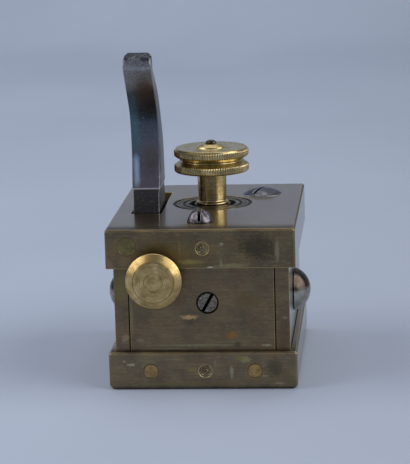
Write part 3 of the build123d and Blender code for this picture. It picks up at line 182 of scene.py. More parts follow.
def tarnishedBrass(name, look):
    # Rolled and filed sheet brass with two centuries of handling: matt olive-brown tarnish and fine
    # level file lines on the fronts, a near-mirror polish on the top and sides, with the sides painted a
    # paler grey as a painted sheen, bright rubbed corners.
    material, tree, place = startMaterial(name)
    placeX, placeY = addNode(tree, "SeparateXYZ", None, {0: place}, None)[:2]
    normal = addNode(tree, "TexCoord", output="Normal")
    normalX, normalY, normalZ = addNode(tree, "SeparateXYZ", None, {0: normal}, None)
    eitherSide = addNode(tree, "Math", {"operation": "ABSOLUTE"}, {0: normalX})
    facing = []
    for part, sign in ((normalZ, 1), (eitherSide, 1), (normalY, -1)):
        spans = {"From Min": 0.9 * sign, "From Max": 0.99 * sign}
        facing.append(addNode(tree, "MapRange", spans, {"Value": part}))
    upward, sideways, forward = facing

    cloudSize = {"Scale": 1 / (look["blotch"] * mm), "Detail": 6.0, "Roughness": 0.62}
    cloud = addNode(tree, "TexNoise", cloudSize, {"Vector": place})
    stops = ((0.30, look["dark"]), (0.50, look["middle"]), (0.70, look["light"]))
    colour = addNode(tree, "ValToRGB", {"stops": stops}, {"Fac": cloud})
    layers = []
    for shift, size, stain, strength in look["stains"]:
        moved = addNode(tree, "Mapping", {"Location": (shift, shift, shift)}, {"Vector": place})
        stainSize = {"Scale": 1 / (size * mm), "Detail": 4.0}
        spread = addNode(tree, "TexNoise", stainSize, {"Vector": moved})
        spans = {"From Min": 0.56, "From Max": 0.72, "To Max": strength}
        amount = addNode(tree, "MapRange", spans, {"Value": spread})
        layers.append((amount, stain))

    # file lines run level along the fronts, and from front to back on the top and sides
    fine, long = 1 / (look["grain"] * mm), 1 / (look["grainLength"] * mm)
    lines = []
    for scale in ((long, long, fine), (fine, long, fine)):
        drawn = addNode(tree, "Mapping", {"Scale": scale}, {"Vector": place})
        strokes = {"Scale": 1.0, "Detail": 4.0, "Roughness": 0.6}
        lines.append(addNode(tree, "TexNoise", strokes, {"Vector": drawn}))
    grain = addNode(tree, "Mix", None, {0: forward, 2: lines[1], 3: lines[0]})
    spans = {"From Min": 0.42, "From Max": 0.66, "To Max": 0.55}
    layers.append((addNode(tree, "MapRange", spans, {"Value": grain}), look["dark"]))
    pitSize = {"Scale": 1 / (look["pit"] * mm), "Detail": 5.0, "Roughness": 0.7}
    pits = addNode(tree, "TexNoise", pitSize, {"Vector": place})
    spans = {"From Min": 0.62, "From Max": 0.72, "To Max": 0.5}
    layers.append((addNode(tree, "MapRange", spans, {"Value": pits}), look["light"]))

    # short pale scuffs along the file lines, a tenth of a millimetre wide and a millimetre long
    stretch = {"Location": (3.0, 5.0, 9.0), "Scale": (0.9 / mm, 0.9 / mm, 7.5 / mm)}
    drawn = addNode(tree, "Mapping", stretch, {"Vector": place})
    strokes = {"Scale": 1.0, "Detail": 3.0, "Roughness": 0.55}
    scuffs = addNode(tree, "TexNoise", strokes, {"Vector": drawn})
    spans = {"From Min": 0.58, "From Max": 0.74, "To Max": 0.5}
    scuffs = addNode(tree, "MapRange", spans, {"Value": scuffs})
    scuffs = addNode(tree, "Math", product, {0: scuffs, 1: forward})
    layers.append((scuffs, look["scuff"]))

    # faces that look forward from further back, such as the slot's rear wall, are painted paler and yellower
    # as painted light
    behind = {"operation": "GREATER_THAN", 1: (look["front"] + look["frontDepth"]) * mm}
    inner = addNode(tree, "Math", behind, {0: placeY})
    inner = addNode(tree, "Math", product, {0: inner, 1: forward})
    outer = addNode(tree, "Math", {"operation": "SUBTRACT"}, {0: forward, 1: inner})
    layers.append((inner, look["inside"]))
    for x, z, halfWidth, halfHeight, stain, strength in look["marks"]:
        reach = reachFrom(tree, place, (x * mm, 0, z * mm), (halfWidth * mm, 1000, halfHeight * mm))
        ragged = addNode(tree, "Math", {"operation": "MULTIPLY_ADD", 1: 2.4}, {0: pits, 2: reach})
        spans = {"From Min": 2.5, "From Max": 1.7, "To Max": strength}
        amount = addNode(tree, "MapRange", spans, {"Value": ragged})
        layers.append((addNode(tree, "Math", product, {0: amount, 1: outer}), stain))

    # the top's polish, cloudy with handling and worn through to brown along its front edge
    spans = {"From Min": 0.35, "From Max": 0.75, "To Min": 1.0, "To Max": 0.7}
    smear = addNode(tree, "MapRange", spans, {"Value": cloud})
    waver = {"operation": "MULTIPLY_ADD", 1: look["waver"] * mm}
    waved = addNode(tree, "Math", waver, {0: cloud, 2: placeY})
    begins, full, stripFull, stripEnd = (
        (look["front"] + look[key]) * mm for key in ("polishFrom", "polishFull", "stripFull", "stripEnd"))
    spans = {"From Min": begins, "From Max": full, "To Min": 0.05}
    reach = addNode(tree, "MapRange", spans, {"Value": waved})
    x, y, halfWidth, halfDepth = look["dull"]
    away = reachFrom(tree, place, (x * mm, y * mm, 0), (halfWidth * mm, halfDepth * mm, 1000))
    spans = {"From Min": 0.6, "From Max": 1.2, "To Min": 0.1}
    bright = addNode(tree, "MapRange", spans, {"Value": away})
    polished = smear
    for mask in (upward, reach, bright):
        polished = addNode(tree, "Math", product, {0: polished, 1: mask})
    gloss = addNode(tree, "Math", {"operation": "MULTIPLY", 1: look["gloss"]}, {0: polished})
    spans = {"From Min": stripEnd, "From Max": stripFull, "To Max": 0.75}
    stained = addNode(tree, "MapRange", spans, {"Value": waved})
    stained = addNode(tree, "Math", product, {0: stained, 1: upward})
    # the side faces are painted a paler grey: a painted sheen
    paintedSideSheen = addNode(tree, "Math", {"operation": "MULTIPLY", 1: 0.8}, {0: sideways})
    layers += [(polished, look["polish"]), (stained, look["strip"]), (paintedSideSheen, look["side"])]

    spans = {"From Min": 0.3, "From Max": 0.7, "To Min": look["rough"] - 0.06, "To Max": look["rough"] + 0.08}
    rough = addNode(tree, "MapRange", spans, {"Value": cloud})
    for factor, value in ((polished, look["topRough"]), (sideways, look["sideRough"])):
        rough = addNode(tree, "Mix", {3: value}, {0: factor, 2: rough})

    # old dirt in the joints and about the plugs and the screw's head
    dirty = []
    for x, halfWidth in look["seams"]:
        joint = {"operation": "COMPARE", 1: x * mm, 2: halfWidth * mm}
        near = addNode(tree, "Math", joint, {0: placeX})
        dirty.append(addNode(tree, "Math", product, {0: near, 1: forward}))
    for node, strength in look["sockets"]:
        low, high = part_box(node)
        radius = (high[2] - low[2]) / 2
        for x in sorted({round(low[0] + radius, 5), round(high[0] - radius, 5)}):
            away = reachFrom(tree, place, (x, 0, low[2] + radius), (1, 1e6, 1))
            ring = {"operation": "COMPARE", 1: radius + look["ringGap"] * mm, 2: look["ringHalf"] * mm}
            near = addNode(tree, "Math", ring, {0: away})
            dirty.append(addNode(tree, "Math", {"operation": "MULTIPLY", 1: strength}, {0: near}))
    dirtAndShade = dirty[0]
    for near in dirty[1:]:
        dirtAndShade = addNode(tree, "Math", larger, {0: near, 1: dirtAndShade})
    bumpDepth, edge = look["bumpDepth"], look["edge"]
    finishMetal(tree, colour, layers, rough, grain, bumpDepth, edge, look["edgeRadius"], dirtAndShade, gloss)
    return material


# ring pitch, cloud size, ring depth and edge radius are in mm; cutGrimeAndShade is how dark the cut places
# are painted, grime with painted shade
knobBrassLook = {
    "dark": "#93804f", "middle": "#c8b27a", "light": "#e0cf9f", "grimeAndShade": "#6e5530", "edge": "#f4e9c2",
    "cutGrimeAndShade": 0.5, "ringPitch": 0.22, "cloud": 1.6, "rough": 0.24, "ringDepth": 0.010, "edgeRadius": 0.1,
    "hollow": 1.1,  # how near another surface the grime and painted shade gather
}
buttonBrassLook = dict(
    knobBrassLook, dark="#917b4e", middle="#c4a76e", light="#dcc490", edge="#f6ebc6", rough=0.3,
    ringDepth=0.014, cutGrimeAndShade=0.9, edgeRadius=0.05)
bushBrassLook = dict(
    knobBrassLook, dark="#4f4934", middle="#6c6144", light="#8a7c54", edge="#b3a577", grimeAndShade="#231c10",
    rough=0.32, cutGrimeAndShade=1.0, edgeRadius=0.04)


def turnedBrass(name, look, centre, axis):
    # Brass turned on a lathe: bright yellow with tool rings about its own axis (x, y or z as 0, 1, 2),
    # brown grime and painted shade in the hollows and cut places, and paler metal where fingers rub it.
    material, tree, place = startMaterial(name)
    squash = [1.0, 1.0, 1.0]
    squash[axis] = 1e6
    radius = reachFrom(tree, place, [c * mm for c in centre], squash)
    turned = {"noise_dimensions": "1D", "Detail": 3.0, "Roughness": 0.6}
    turned["Scale"] = 1 / (look["ringPitch"] * mm)
    along = addNode(tree, "SeparateXYZ", None, {0: place}, axis)
    path = addNode(tree, "Math", {"operation": "ADD"}, {0: radius, 1: along})
    rings = addNode(tree, "TexNoise", turned, {"W": path})
    cloudSize = {"Scale": 1 / (look["cloud"] * mm), "Detail": 5.0, "Roughness": 0.6}
    cloud = addNode(tree, "TexNoise", cloudSize, {"Vector": place})
    blend = addNode(tree, "Mix", {0: 0.35}, {2: cloud, 3: rings})
    stops = ((0.34, look["dark"]), (0.50, look["middle"]), (0.64, look["light"]))
    colour = addNode(tree, "ValToRGB", {"stops": stops}, {"Fac": blend})
    # darker where other surfaces are near, by ambient occlusion, and in the cut places: grime with painted
    # shade
    hollow = addNode(tree, "AmbientOcclusion", {"samples": 6, "Distance": look["hollow"] * mm}, output="AO")
    spans = {"From Min": 0.75, "From Max": 0.3, "To Max": 0.75}
    shadeAndDirt = addNode(tree, "MapRange", spans, {"Value": hollow})
    cut = addNode(tree, "Attribute", {"attribute_name": "cut"}, output="Fac")
    cut = addNode(tree, "Math", {"operation": "MULTIPLY", 1: look["cutGrimeAndShade"]}, {0: cut})
    base = look["rough"]
    spans = {"From Min": 0.35, "From Max": 0.65, "To Min": base + 0.10, "To Max": base - 0.04}
    rough = addNode(tree, "MapRange", spans, {"Value": cloud})
    layers = [(shadeAndDirt, look["grimeAndShade"]), (cut, look["grimeAndShade"])]
    finishMetal(tree, colour, layers, rough, rings, look["ringDepth"], look["edge"], look["edgeRadius"])
    return material


leverLook = {
    # colours up the lever, as heights above the lid in mm
    "tones": ((0.0, "#57524f"), (4.7, "#5d5755"), (5.1, "#8f878c"), (9.0, "#857c84"), (14.0, "#666a72"),
              (20.0, "#4a545e"), (25.0, "#5c5a56"), (28.0, "#9c9c9b"), (31.0, "#9fa0a3"), (32.6, "#82838a"),
              (33.3, "#36383e")),
    # temper colours and a painted pale blue highlight, as (place across, half width, height, half height in
    # mm, tone, strength)
    "temper": ((0.18, 0.16, 18.5, 7.5, "teal", 0.75), (0.17, 0.13, 8.8, 3.0, "blue", 0.9),
               (0.62, 0.30, 26.5, 2.6, "brown", 0.6), (0.70, 0.25, 11.5, 4.0, "brown", 0.45)),
    # dark and pale pits on the tip, as (value of the fine pattern where none, value where full, tone)
    "pits": ((0.47, 0.38, "#4a4a4c"), (0.54, 0.66, "#c4c4c6")),
    "blue": "#b4cbe6", "teal": "#5b7782", "brown": "#6e5f54", "scrape": "#b4b6bc", "edge": "#d6d8de",
    # the burr tone is a near-white line painted along the shoulder's ledge: a painted glint
    "shoulderGlint": "#f4f2f2", "height": 34.4, "shoulder": 4.98, "shoulderGlintWidth": 0.16, "blotch": 3.0, "fine": 0.32,
    "rough": 0.34, "blueRough": 0.62, "tipRough": 0.5, "bumpDepth": 0.014, "edgeRadius": 0.26,
}


def bluedSteel(name, look):
    # Filed carbon steel, tempered blue and long handled: blue-black with brown and teal temper colours,
    # a pale sky-blue patch that is a painted highlight over the blue temper, grey where the finger has
    # rubbed its tip, bright bare corners.
    material, tree, place = startMaterial(name)
    placeX, _, placeZ = addNode(tree, "SeparateXYZ", None, {0: place}, None)
    tall = look["height"]
    span = {"From Min": lidTop * mm, "From Max": (lidTop + tall) * mm}
    height = addNode(tree, "MapRange", span, {"Value": placeZ})
    blotchSize = {"Scale": 1 / (look["blotch"] * mm), "Detail": 5.0, "Roughness": 0.65}
    wobble = addNode(tree, "TexNoise", blotchSize, {"Vector": place})
    shifted = addNode(tree, "Math", {"operation": "MULTIPLY_ADD", 1: 0.10, 2: -0.05}, {0: wobble})
    climb = addNode(tree, "Math", {"operation": "ADD"}, {0: height, 1: shifted})
    stops = [(z / tall, tone) for z, tone in look["tones"]]
    colour = addNode(tree, "ValToRGB", {"stops": stops}, {"Fac": climb})
    # a near-white line at the shoulder's height: a painted glint on the ledge
    shoulderGlint = {"operation": "COMPARE", 1: look["shoulder"] / tall, 2: look["shoulderGlintWidth"] / tall}
    layers = [(addNode(tree, "Math", shoulderGlint, {0: height}), look["shoulderGlint"])]

    low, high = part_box("cocking_lever")
    side = addNode(tree, "MapRange", {"From Min": low[0], "From Max": high[0]}, {"Value": placeX})
    tempered = {}
    for centre, halfWidth, z, halfHeight, tone, strength in look["temper"]:
        parts = []
        for value, middleValue, half in ((side, centre, halfWidth), (height, z / tall, halfHeight / tall)):
            away = addNode(tree, "Math", {"operation": "SUBTRACT", 1: middleValue}, {0: value})
            parts.append(addNode(tree, "Math", {"operation": "DIVIDE", 1: half}, {0: away}))
        both = addNode(tree, "CombineXYZ", None, {0: parts[0], 1: parts[1]})
        reach = addNode(tree, "VectorMath", {"operation": "LENGTH"}, {0: both}, "Value")
        frayed = {"operation": "MULTIPLY_ADD", 1: 1.6}
        ragged = addNode(tree, "Math", frayed, {0: wobble, 2: reach})
        spans = {"From Min": 2.1, "From Max": 1.3, "To Max": strength}
        tempered[tone] = addNode(tree, "MapRange", spans, {"Value": ragged})
        layers.append((tempered[tone], look[tone]))

    # fine scrapes and rust freckles, a tenth to a third of a millimetre
    fineSize = {"Scale": 1 / (look["fine"] * mm), "Detail": 6.0, "Roughness": 0.75}
    fine = addNode(tree, "TexNoise", fineSize, {"Vector": place})
    spans = {"From Min": 0.56, "From Max": 0.70, "To Max": 0.65}
    layers.append((addNode(tree, "MapRange", spans, {"Value": fine}), look["scrape"]))
    # the painted blue highlight is rough, and the finger has rubbed and pitted the tip
    base = look["rough"]
    spans = {"From Min": 0.35, "From Max": 0.65, "To Min": base - 0.06, "To Max": base + 0.12}
    rough = addNode(tree, "MapRange", spans, {"Value": fine})
    worn = addNode(tree, "MapRange", {"From Min": 0.76, "From Max": 0.86}, {"Value": climb})
    for factor, value in ((tempered["blue"], look["blueRough"]), (worn, look["tipRough"])):
        rough = addNode(tree, "Mix", {3: value}, {0: factor, 2: rough})
    for least, most, tone in look["pits"]:
        spans = {"From Min": least, "From Max": most, "To Max": 0.7}
        pitted = addNode(tree, "MapRange", spans, {"Value": fine})
        layers.append((addNode(tree, "Math", product, {0: pitted, 1: worn}), tone))
    finishMetal(tree, colour, layers, rough, fine, look["bumpDepth"], look["edge"], look["edgeRadius"])
    return material


# light tone, dark tone, stain, edge, roughness, blotch size and pit depth in mm, crown, groove
steelLooks = {
    "hammeredScrewSteel": ("#7f7b80", "#464248", "#564648", "#c8c4ca", 0.36, 0.6, 0.05),
    "frontScrewSteel": (
        "#a89f92", "#4a443d", "#62564a", "#b4afa6", 0.44, 0.4, 0.08, None, ("front_plate_screw", 29, 0.3)),
    "rearScrewSteel": ("#75767a", "#4a4a4e", "#5e564f", "#b9bcc2", 0.3, 1.1, 0.05),
    # the dome's crown is a reddish-brown stain, painted darker still as painted shade where the softbox's
    # reflection would light it
    "domeSteel": ("#b4b0a4", "#868176", "#6d5a50", "#b4b4b0", 0.22, 1.8, 0.015, (16.8, 17.6, "#38261f")),
    "filedSteel": ("#8c8c8e", "#6a6a6d", "#6e6258", "#b4b4b8", 0.36, 1.2, 0.006),
    "springSteel": ("#5c6274", "#3e4356", "#5a4a50", "#8f95a4", 0.26, 2.2, 0.004),
    "bladeSteel": ("#b4b6ba", "#94969b", "#8a8176", "#d6d8dc", 0.18, 2.4, 0.003),
    "nippleSteel": ("#6a5f48", "#3c3428", "#4a3a26", "#9b8d68", 0.36, 0.6, 0.03),
}


def oldSteel(name, light, dark, stain, edge, rough, blotch, pitDepth, crown=None, groove=None):
    # Carbon steel, forged or filed and then handled: grey with dark clouds, thin rust-brown stains
    # and shallow pits, whose depth tells a hammered screw head from a ground blade. A crown is a darker tone
    # above a height, a stain deepened by painted shade: (height of its lower edge and of its full strength in
    # mm, colour). A groove is a black band of painted shade along a front screw's slot: (node, lean in
    # degrees, half width in mm). Hollows near other surfaces and cut places, such as a slot's floor, are
    # painted black: painted shade, with dirt.
    material, tree, place = startMaterial(name)
    cloudSize = {"Scale": 1 / (blotch * mm), "Detail": 5.0, "Roughness": 0.65}
    cloud = addNode(tree, "TexNoise", cloudSize, {"Vector": place})
    colour = addNode(tree, "ValToRGB", {"stops": ((0.36, dark), (0.62, light))}, {"Fac": cloud})
    moved = addNode(tree, "Mapping", {"Location": (11.0, 5.0, 3.0)}, {"Vector": place})
    rustSize = {"Scale": 0.7 / (blotch * mm), "Detail": 4.0}
    rust = addNode(tree, "TexNoise", rustSize, {"Vector": moved})
    spans = {"From Min": 0.5, "From Max": 0.68, "To Max": 0.6}
    layers = [(addNode(tree, "MapRange", spans, {"Value": rust}), stain)]
    # the crown: a stain, darkened further by painted shade
    if crown:
        lowerEdge, full, crownStainAndShade = crown
        height = addNode(tree, "SeparateXYZ", None, {0: place}, 2)
        waver = {"operation": "MULTIPLY_ADD", 1: 1.5 * mm}
        waved = addNode(tree, "Math", waver, {0: rust, 2: height})
        spans = {"From Min": lowerEdge * mm, "From Max": full * mm, "To Max": 0.85}
        layers.append((addNode(tree, "MapRange", spans, {"Value": waved}), crownStainAndShade))
    # black where other surfaces are near, by ambient occlusion, and in cut places such as the screw's slot:
    # painted shade, with dirt
    hollow = addNode(tree, "AmbientOcclusion", {"samples": 6, "Distance": 0.7 * mm}, output="AO")
    shadeAndDirt = addNode(tree, "MapRange", {"From Min": 0.8, "From Max": 0.45}, {"Value": hollow})
    cut = addNode(tree, "Attribute", {"attribute_name": "cut"}, output="Fac")
    shadeAndDirt = addNode(tree, "Math", larger, {0: shadeAndDirt, 1: cut})
    # the groove: a black band painted along the front screw's slot, wider than the cut, as painted shade
    if groove:
        node, lean, halfWidth = groove
        spot = (middle(node, 0) * mm, 0, middle(node, 2) * mm)
        turned = {"vector_type": "TEXTURE", "Location": spot, "Rotation": (0, math.radians(lean), 0)}
        across = addNode(tree, "Mapping", turned, {"Vector": place})
        across = addNode(tree, "SeparateXYZ", None, {0: across})
        across = addNode(tree, "Math", {"operation": "ABSOLUTE"}, {0: across})
        spans = {"From Min": (halfWidth + 0.08) * mm, "From Max": (halfWidth - 0.04) * mm}
        across = addNode(tree, "MapRange", spans, {"Value": across})
        shadeAndDirt = addNode(tree, "Math", larger, {0: shadeAndDirt, 1: across})
    spans = {"From Min": 0.35, "From Max": 0.65, "To Min": rough + 0.10, "To Max": rough - 0.04}
    roughness = addNode(tree, "MapRange", spans, {"Value": cloud})
    finishMetal(tree, colour, layers, roughness, cloud, pitDepth, edge, steelEdgeRadius, shadeAndDirt)
    return material


# light tone, dark tone, edge, roughness
fittingLooks = {
    "pinBrass": ("#8f8060", "#66593f", "#c4b890", 0.4),
    "studBrass": ("#b99a62", "#9a7d50", "#a38a5c", 0.42),
    "plugBrass": ("#8d835a", "#776e4c", "#857b56", 0.46),
    "wheelBrass": ("#b89c5c", "#937c48", "#d8c48c", 0.3),
}


def sawnBrass(name, light, dark, edge, rough):
    # Brass rod and plate, sawn and filed: yellow, with a thin uneven tarnish
    material, tree, place = startMaterial(name)
    tarnish = {"Scale": 1 / (1.1 * mm), "Detail": 5.0, "Roughness": 0.6}
    cloud = addNode(tree, "TexNoise", tarnish, {"Vector": place})
    colour = addNode(tree, "ValToRGB", {"stops": ((0.36, dark), (0.62, light))}, {"Fac": cloud})
    spans = {"From Min": 0.35, "From Max": 0.65, "To Min": rough + 0.1, "To Max": rough - 0.04}
    roughness = addNode(tree, "MapRange", spans, {"Value": cloud})
    scratches = {"Scale": 1 / (0.2 * mm), "Detail": 3.0}
    scratch = addNode(tree, "TexNoise", scratches, {"Vector": place})
    finishMetal(tree, colour, [], roughness, scratch, 0.004, edge, sawnEdgeRadius)
    return material


print("materials")
knobCentre = (middle("depth_knob", 0), middle("depth_knob", 1), lidTop)
buttonCentre = (middle("trigger_head", 0), 0.0, middle("trigger_head", 2))
finish = {
    "lidBrass": tarnishedBrass("lidBrass", lidLook),
    "trayBrass": tarnishedBrass("trayBrass", trayLook),
    "frontBrass": tarnishedBrass("frontBrass", frontLook),
    "sideBrass": tarnishedBrass("sideBrass", sideLook),
    "knobBrass": turnedBrass("knobBrass", knobBrassLook, knobCentre, 2),
    "bushBrass": turnedBrass("bushBrass", bushBrassLook, knobCentre, 2),
    "buttonBrass": turnedBrass("buttonBrass", buttonBrassLook, buttonCentre, 1),
    "bluedLeverSteel": bluedSteel("bluedLeverSteel", leverLook),
}
finish.update({name: oldSteel(name, *look) for name, look in steelLooks.items()})
finish.update({name: sawnBrass(name, *look) for name, look in fittingLooks.items()})
slotFinish = {
    "case_brass": "frontBrass", "turned_brass": "buttonBrass", "pin_brass": "pinBrass",
    "inner_brass": "wheelBrass", "steel": "filedSteel", "blued_steel": "bluedLeverSteel",
    "spring_steel": "springSteel", "blade_steel": "bladeSteel",
}
nodeFinish = {
    "lid": "lidBrass", "base_tray": "trayBrass", "left_side_plate": "sideBrass",
    "right_side_plate": "sideBrass", "top_screw": "hammeredScrewSteel",
    "front_plate_screw": "frontScrewSteel", "rear_screw": "rearScrewSteel",
    "depth_spindle": "nippleSteel", "lid_plug": "plugBrass", "tray_studs": "studBrass",
}
for name, item in nodes.items():
    item.data.materials.clear()
    item.data.materials.append(finish[nodeFinish.get(name, slotFinish[slotOf[name]])])


def softCorners(points, radius, steps=5):
    # Outline with each inner corner turned into an arc of its radius, cut short where its sides are.
    # Arc by weights: ((1-t)^2 start + 2t(1-t) w corner + t^2 end) / ((1-t)^2 + 2t(1-t) w + t^2), with
    # w the cosine of half the turn, and start and end at radius tan(half turn) from the corner.
    points = np.array(points, float)
    corner = points[1:-1]
    before, after = points[:-2] - corner, points[2:] - corner
    lengthBefore, lengthAfter = np.hypot(*before.T), np.hypot(*after.T)
    turn = math.pi - np.arccos(np.clip((before * after).sum(1) / lengthBefore / lengthAfter, -1, 1))
    cut = np.minimum(radius * np.tan(turn / 2), 0.48 * np.minimum(lengthBefore, lengthAfter))[:, None]
    start = corner + before / lengthBefore[:, None] * cut
    end = corner + after / lengthAfter[:, None] * cut
    t = np.linspace(0, 1, steps)[:, None, None]
    weight = 2 * t * (1 - t) * np.cos(turn / 2)[:, None]
    arc = ((1 - t) ** 2 * start + weight * corner + t ** 2 * end) / ((1 - t) ** 2 + weight + t ** 2)
    return np.vstack([points[:1], arc.transpose(1, 0, 2).reshape(-1, 2), points[-1:]])


def gridFaces(rows, columns, rowSteps, columnSteps):
    # quads of a grid of points numbered row by row; it closes where the steps are as many as the points
    row, column = np.arange(rowSteps)[:, None] * columns, np.arange(columnSteps)[None, :]
    nextRow, nextColumn = (row + columns) % (rows * columns), (column + 1) % columns
    quads = [row + column, row + nextColumn, nextRow + nextColumn, nextRow + column]
    return np.stack(quads, -1).reshape(-1, 4)


def newPiece(name, points, faces, sharpFrom):
    # a smooth-shaded mesh in metres, with its object at the origin; edges from sharpFrom degrees stay crisp
    mesh = bpy.data.meshes.new(name)
    mesh.from_pydata(points.tolist(), [], faces)
    mesh.polygons.foreach_set("use_smooth", np.ones(len(mesh.polygons), bool))
    mesh.set_sharp_from_angle(angle=math.radians(sharpFrom))
    item = bpy.data.objects.new(name, mesh)
    bpy.context.scene.collection.objects.link(item)
    return item


def turnedPiece(name, outline, centre, axis, columns, ripple=None, sink=None):
    # Turned surface: point(s, a) = centre + r(s) (cos a, sin a) across the axis + h(s) along it, where
    # (r, h) is the outline in mm, a closed loop, a ripple cuts into r and a sink into h. How deep each
    # point is cut, up to 1, stays in the attribute "cut"; where a sink is deeper than 0.4 mm, it is 1.
    angle = np.arange(columns) * 2 * math.pi / columns
    radius = np.repeat(outline[:, :1], columns, 1)
    height = np.repeat(outline[:, 1:], columns, 1)
    cut = ripple(angle[None, :], radius, height) if ripple else np.zeros_like(radius)
    radius = radius - cut
    spun = [radius * np.cos(angle), radius * np.sin(angle)]
    if sink:
        sunk = sink(*spun, height)
        height, cut = height - sunk, np.where(sunk > 0.4, 1.0, 0.0)
    points = np.zeros((*radius.shape, 3))
    for direction, values in zip((axis + 1, axis + 2, axis), (*spun, height)):
        points[..., direction % 3] = values
    points = (points + np.array(centre)) * mm
    rows = len(outline)
    item = newPiece(name, points.reshape(-1, 3), gridFaces(rows, columns, rows, columns).tolist(), 38)
    deepest = max(cut.max(), 1e-9)
    item.data.attributes.new("cut", "FLOAT", "POINT").data.foreach_set("value", (cut / deepest).ravel())
    return item


trace = 1e-6  # mm, a cut too fine to show, which only sets the attribute "cut"


def handOver(item, body, slot, material, *replaced):
    # hands a new piece to its body, in place of the CAD nodes it stands for
    item.data.materials.append(finish[material])
    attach(item, body)
    if replaced:
        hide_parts(*replaced)


# radii and heights above the lid, in mm; the knurls are V cuts round each band
knobLook = {
    "bore": 0.87, "stem": 2.93, "collar": 3.08, "flare": 3.45, "flareHeight": 0.8, "rim": 7.83, "neck": 6.55,
    "lower": (6.95, 8.5), "upper": (10.2, 11.55), "top": 12.0, "boss": 3.2, "bossRise": 0.7, "dish": 0.3,
    "knurls": 92, "knurlDepth": 0.17, "knurlPoints": 6, "rounding": 0.25,
    "rivetRadius": 1.2, "rivetRise": 0.85, "rivetDent": 0.05,
}


def makeKnob(look):
    # stem, two knurled rims with a V groove between, dished top with a raised boss; the small offsets
    # are the chamfers that the lathe tool left, in mm
    (lowerFoot, lowerHead), (upperFoot, upperHead) = look["lower"], look["upper"]
    bore, collar, flare, rim, neck = (look[key] for key in ("bore", "collar", "flare", "rim", "neck"))
    top, boss, groove = look["top"], look["boss"], (lowerHead + upperFoot) / 2
    crown = top + look["bossRise"]
    outline = softCorners([
        (bore, 0.05), (flare, 0.05), (flare, look["flareHeight"] * 0.5), (look["stem"], look["flareHeight"]),
        (collar, lowerFoot - 0.3), (collar + 0.3, lowerFoot - 0.02), (rim - 0.3, lowerFoot),
        (rim, lowerFoot + 0.25), (rim, lowerHead - 0.15), (rim - 0.2, lowerHead),
        (neck, groove - 0.12), (neck, groove + 0.12),
        (rim - 0.25, upperFoot), (rim, upperFoot + 0.2), (rim, upperHead - 0.12),
        (rim - 0.14, upperHead + 0.02), (rim - 0.4, top - 0.08), (rim - 0.7, top),
        (boss + 0.9, top - look["dish"]), (boss + 0.1, top - 0.12), (boss - 0.2, top + 0.25),
        (boss - 1.2, crown), (bore, crown),
    ], look["rounding"])

    def knurl(angle, radius, height):
        # one V cut for each knurl, deepest midway, only on the two bands
        wave = np.abs((angle * look["knurls"] / (2 * math.pi)) % 1 - 0.5) * 2
        onLower = (height > lowerFoot) & (height < lowerHead)
        onUpper = (height > upperFoot) & (height < upperHead)
        return np.where((onLower | onUpper) & (radius > rim - 0.12), look["knurlDepth"] * (1 - wave), 0.0)

    columns = look["knurls"] * look["knurlPoints"]
    item = turnedPiece("knurledKnob", outline, knobCentre, 2, columns, knurl)
    handOver(item, "depth", "turned_brass", "knobBrass", "depth_knob")
    # the spindle's end, hammered over the boss: a low dome with a flattened crown, closed at its axis
    axis = 0.02
    q = np.linspace(0, 0.5 * math.pi, 9)
    spread = axis + (look["rivetRadius"] - axis) * np.cos(q) ** 0.8
    dome = np.stack([spread, crown - 0.1 + look["rivetRise"] * np.sin(q)], 1)
    outline = np.vstack([[(axis, top + 0.4), (1.0, top + 0.4)], dome])

    def hammered(angle, radius, height):
        return look["rivetDent"] * np.maximum(0, np.sin(5 * angle + 3 * height)) * (radius > 0.4)

    item = turnedPiece("hammeredRivet", outline, knobCentre, 2, 40, hammered)
    handOver(item, "depth", "steel", "nippleSteel")


# radii in mm; the face is its outline from the bore outwards, as (radius, height): a deep groove about
# the stem and three finer rings
bushLook = {
    "bore": 1.94, "radius": 8.45, "flange": 1.1, "hub": 4.4, "length": 4.0, "columns": 160, "rounding": 0.06,
    "face": ((3.75, 0.0), (3.95, -0.8), (4.75, -0.8), (4.95, -0.02), (5.75, -0.02), (5.95, -0.32),
             (6.2, -0.32), (6.4, -0.02), (6.95, -0.02), (7.05, -0.12), (7.15, -0.02), (7.7, -0.02),
             (7.85, -0.3), (8.1, -0.3), (8.2, -0.05)),
}


def makeBush(look):
    # flanged bush under the knob's stem, with the grooves and rings of its face
    bore, radius, hub, length = look["bore"], look["radius"], look["hub"], look["length"]
    outline = softCorners([
        (bore, 0.0), *look["face"], (radius, -0.05), (radius, -look["flange"]), (hub, -look["flange"]),
        (hub, -length), (bore, -length), (bore, -0.2),
    ], look["rounding"])

    def scribed(angle, radius, height):
        # marks the rings and the groove as cut, without moving them
        inside = (height > -look["flange"] + 0.1) & (radius < look["radius"] - 0.1)
        return trace * ((height < -0.06) & inside)

    item = turnedPiece("ringedBush", outline[::-1], knobCentre, 2, look["columns"], scribed)
    handOver(item, "case", "turned_brass", "bushBrass", "depth_bush")


# radii, and lengths back from the face, in mm
buttonLook = {
    "bore": 1.87, "radius": 5.65, "face": 4.15, "skirt": 2.5, "bevel": 1.2, "taper": 0.55, "columns": 160,
    "rings": (2.7, 3.5), "ringDepth": 0.03, "ringWidth": 0.05, "rounding": 0.05,
}


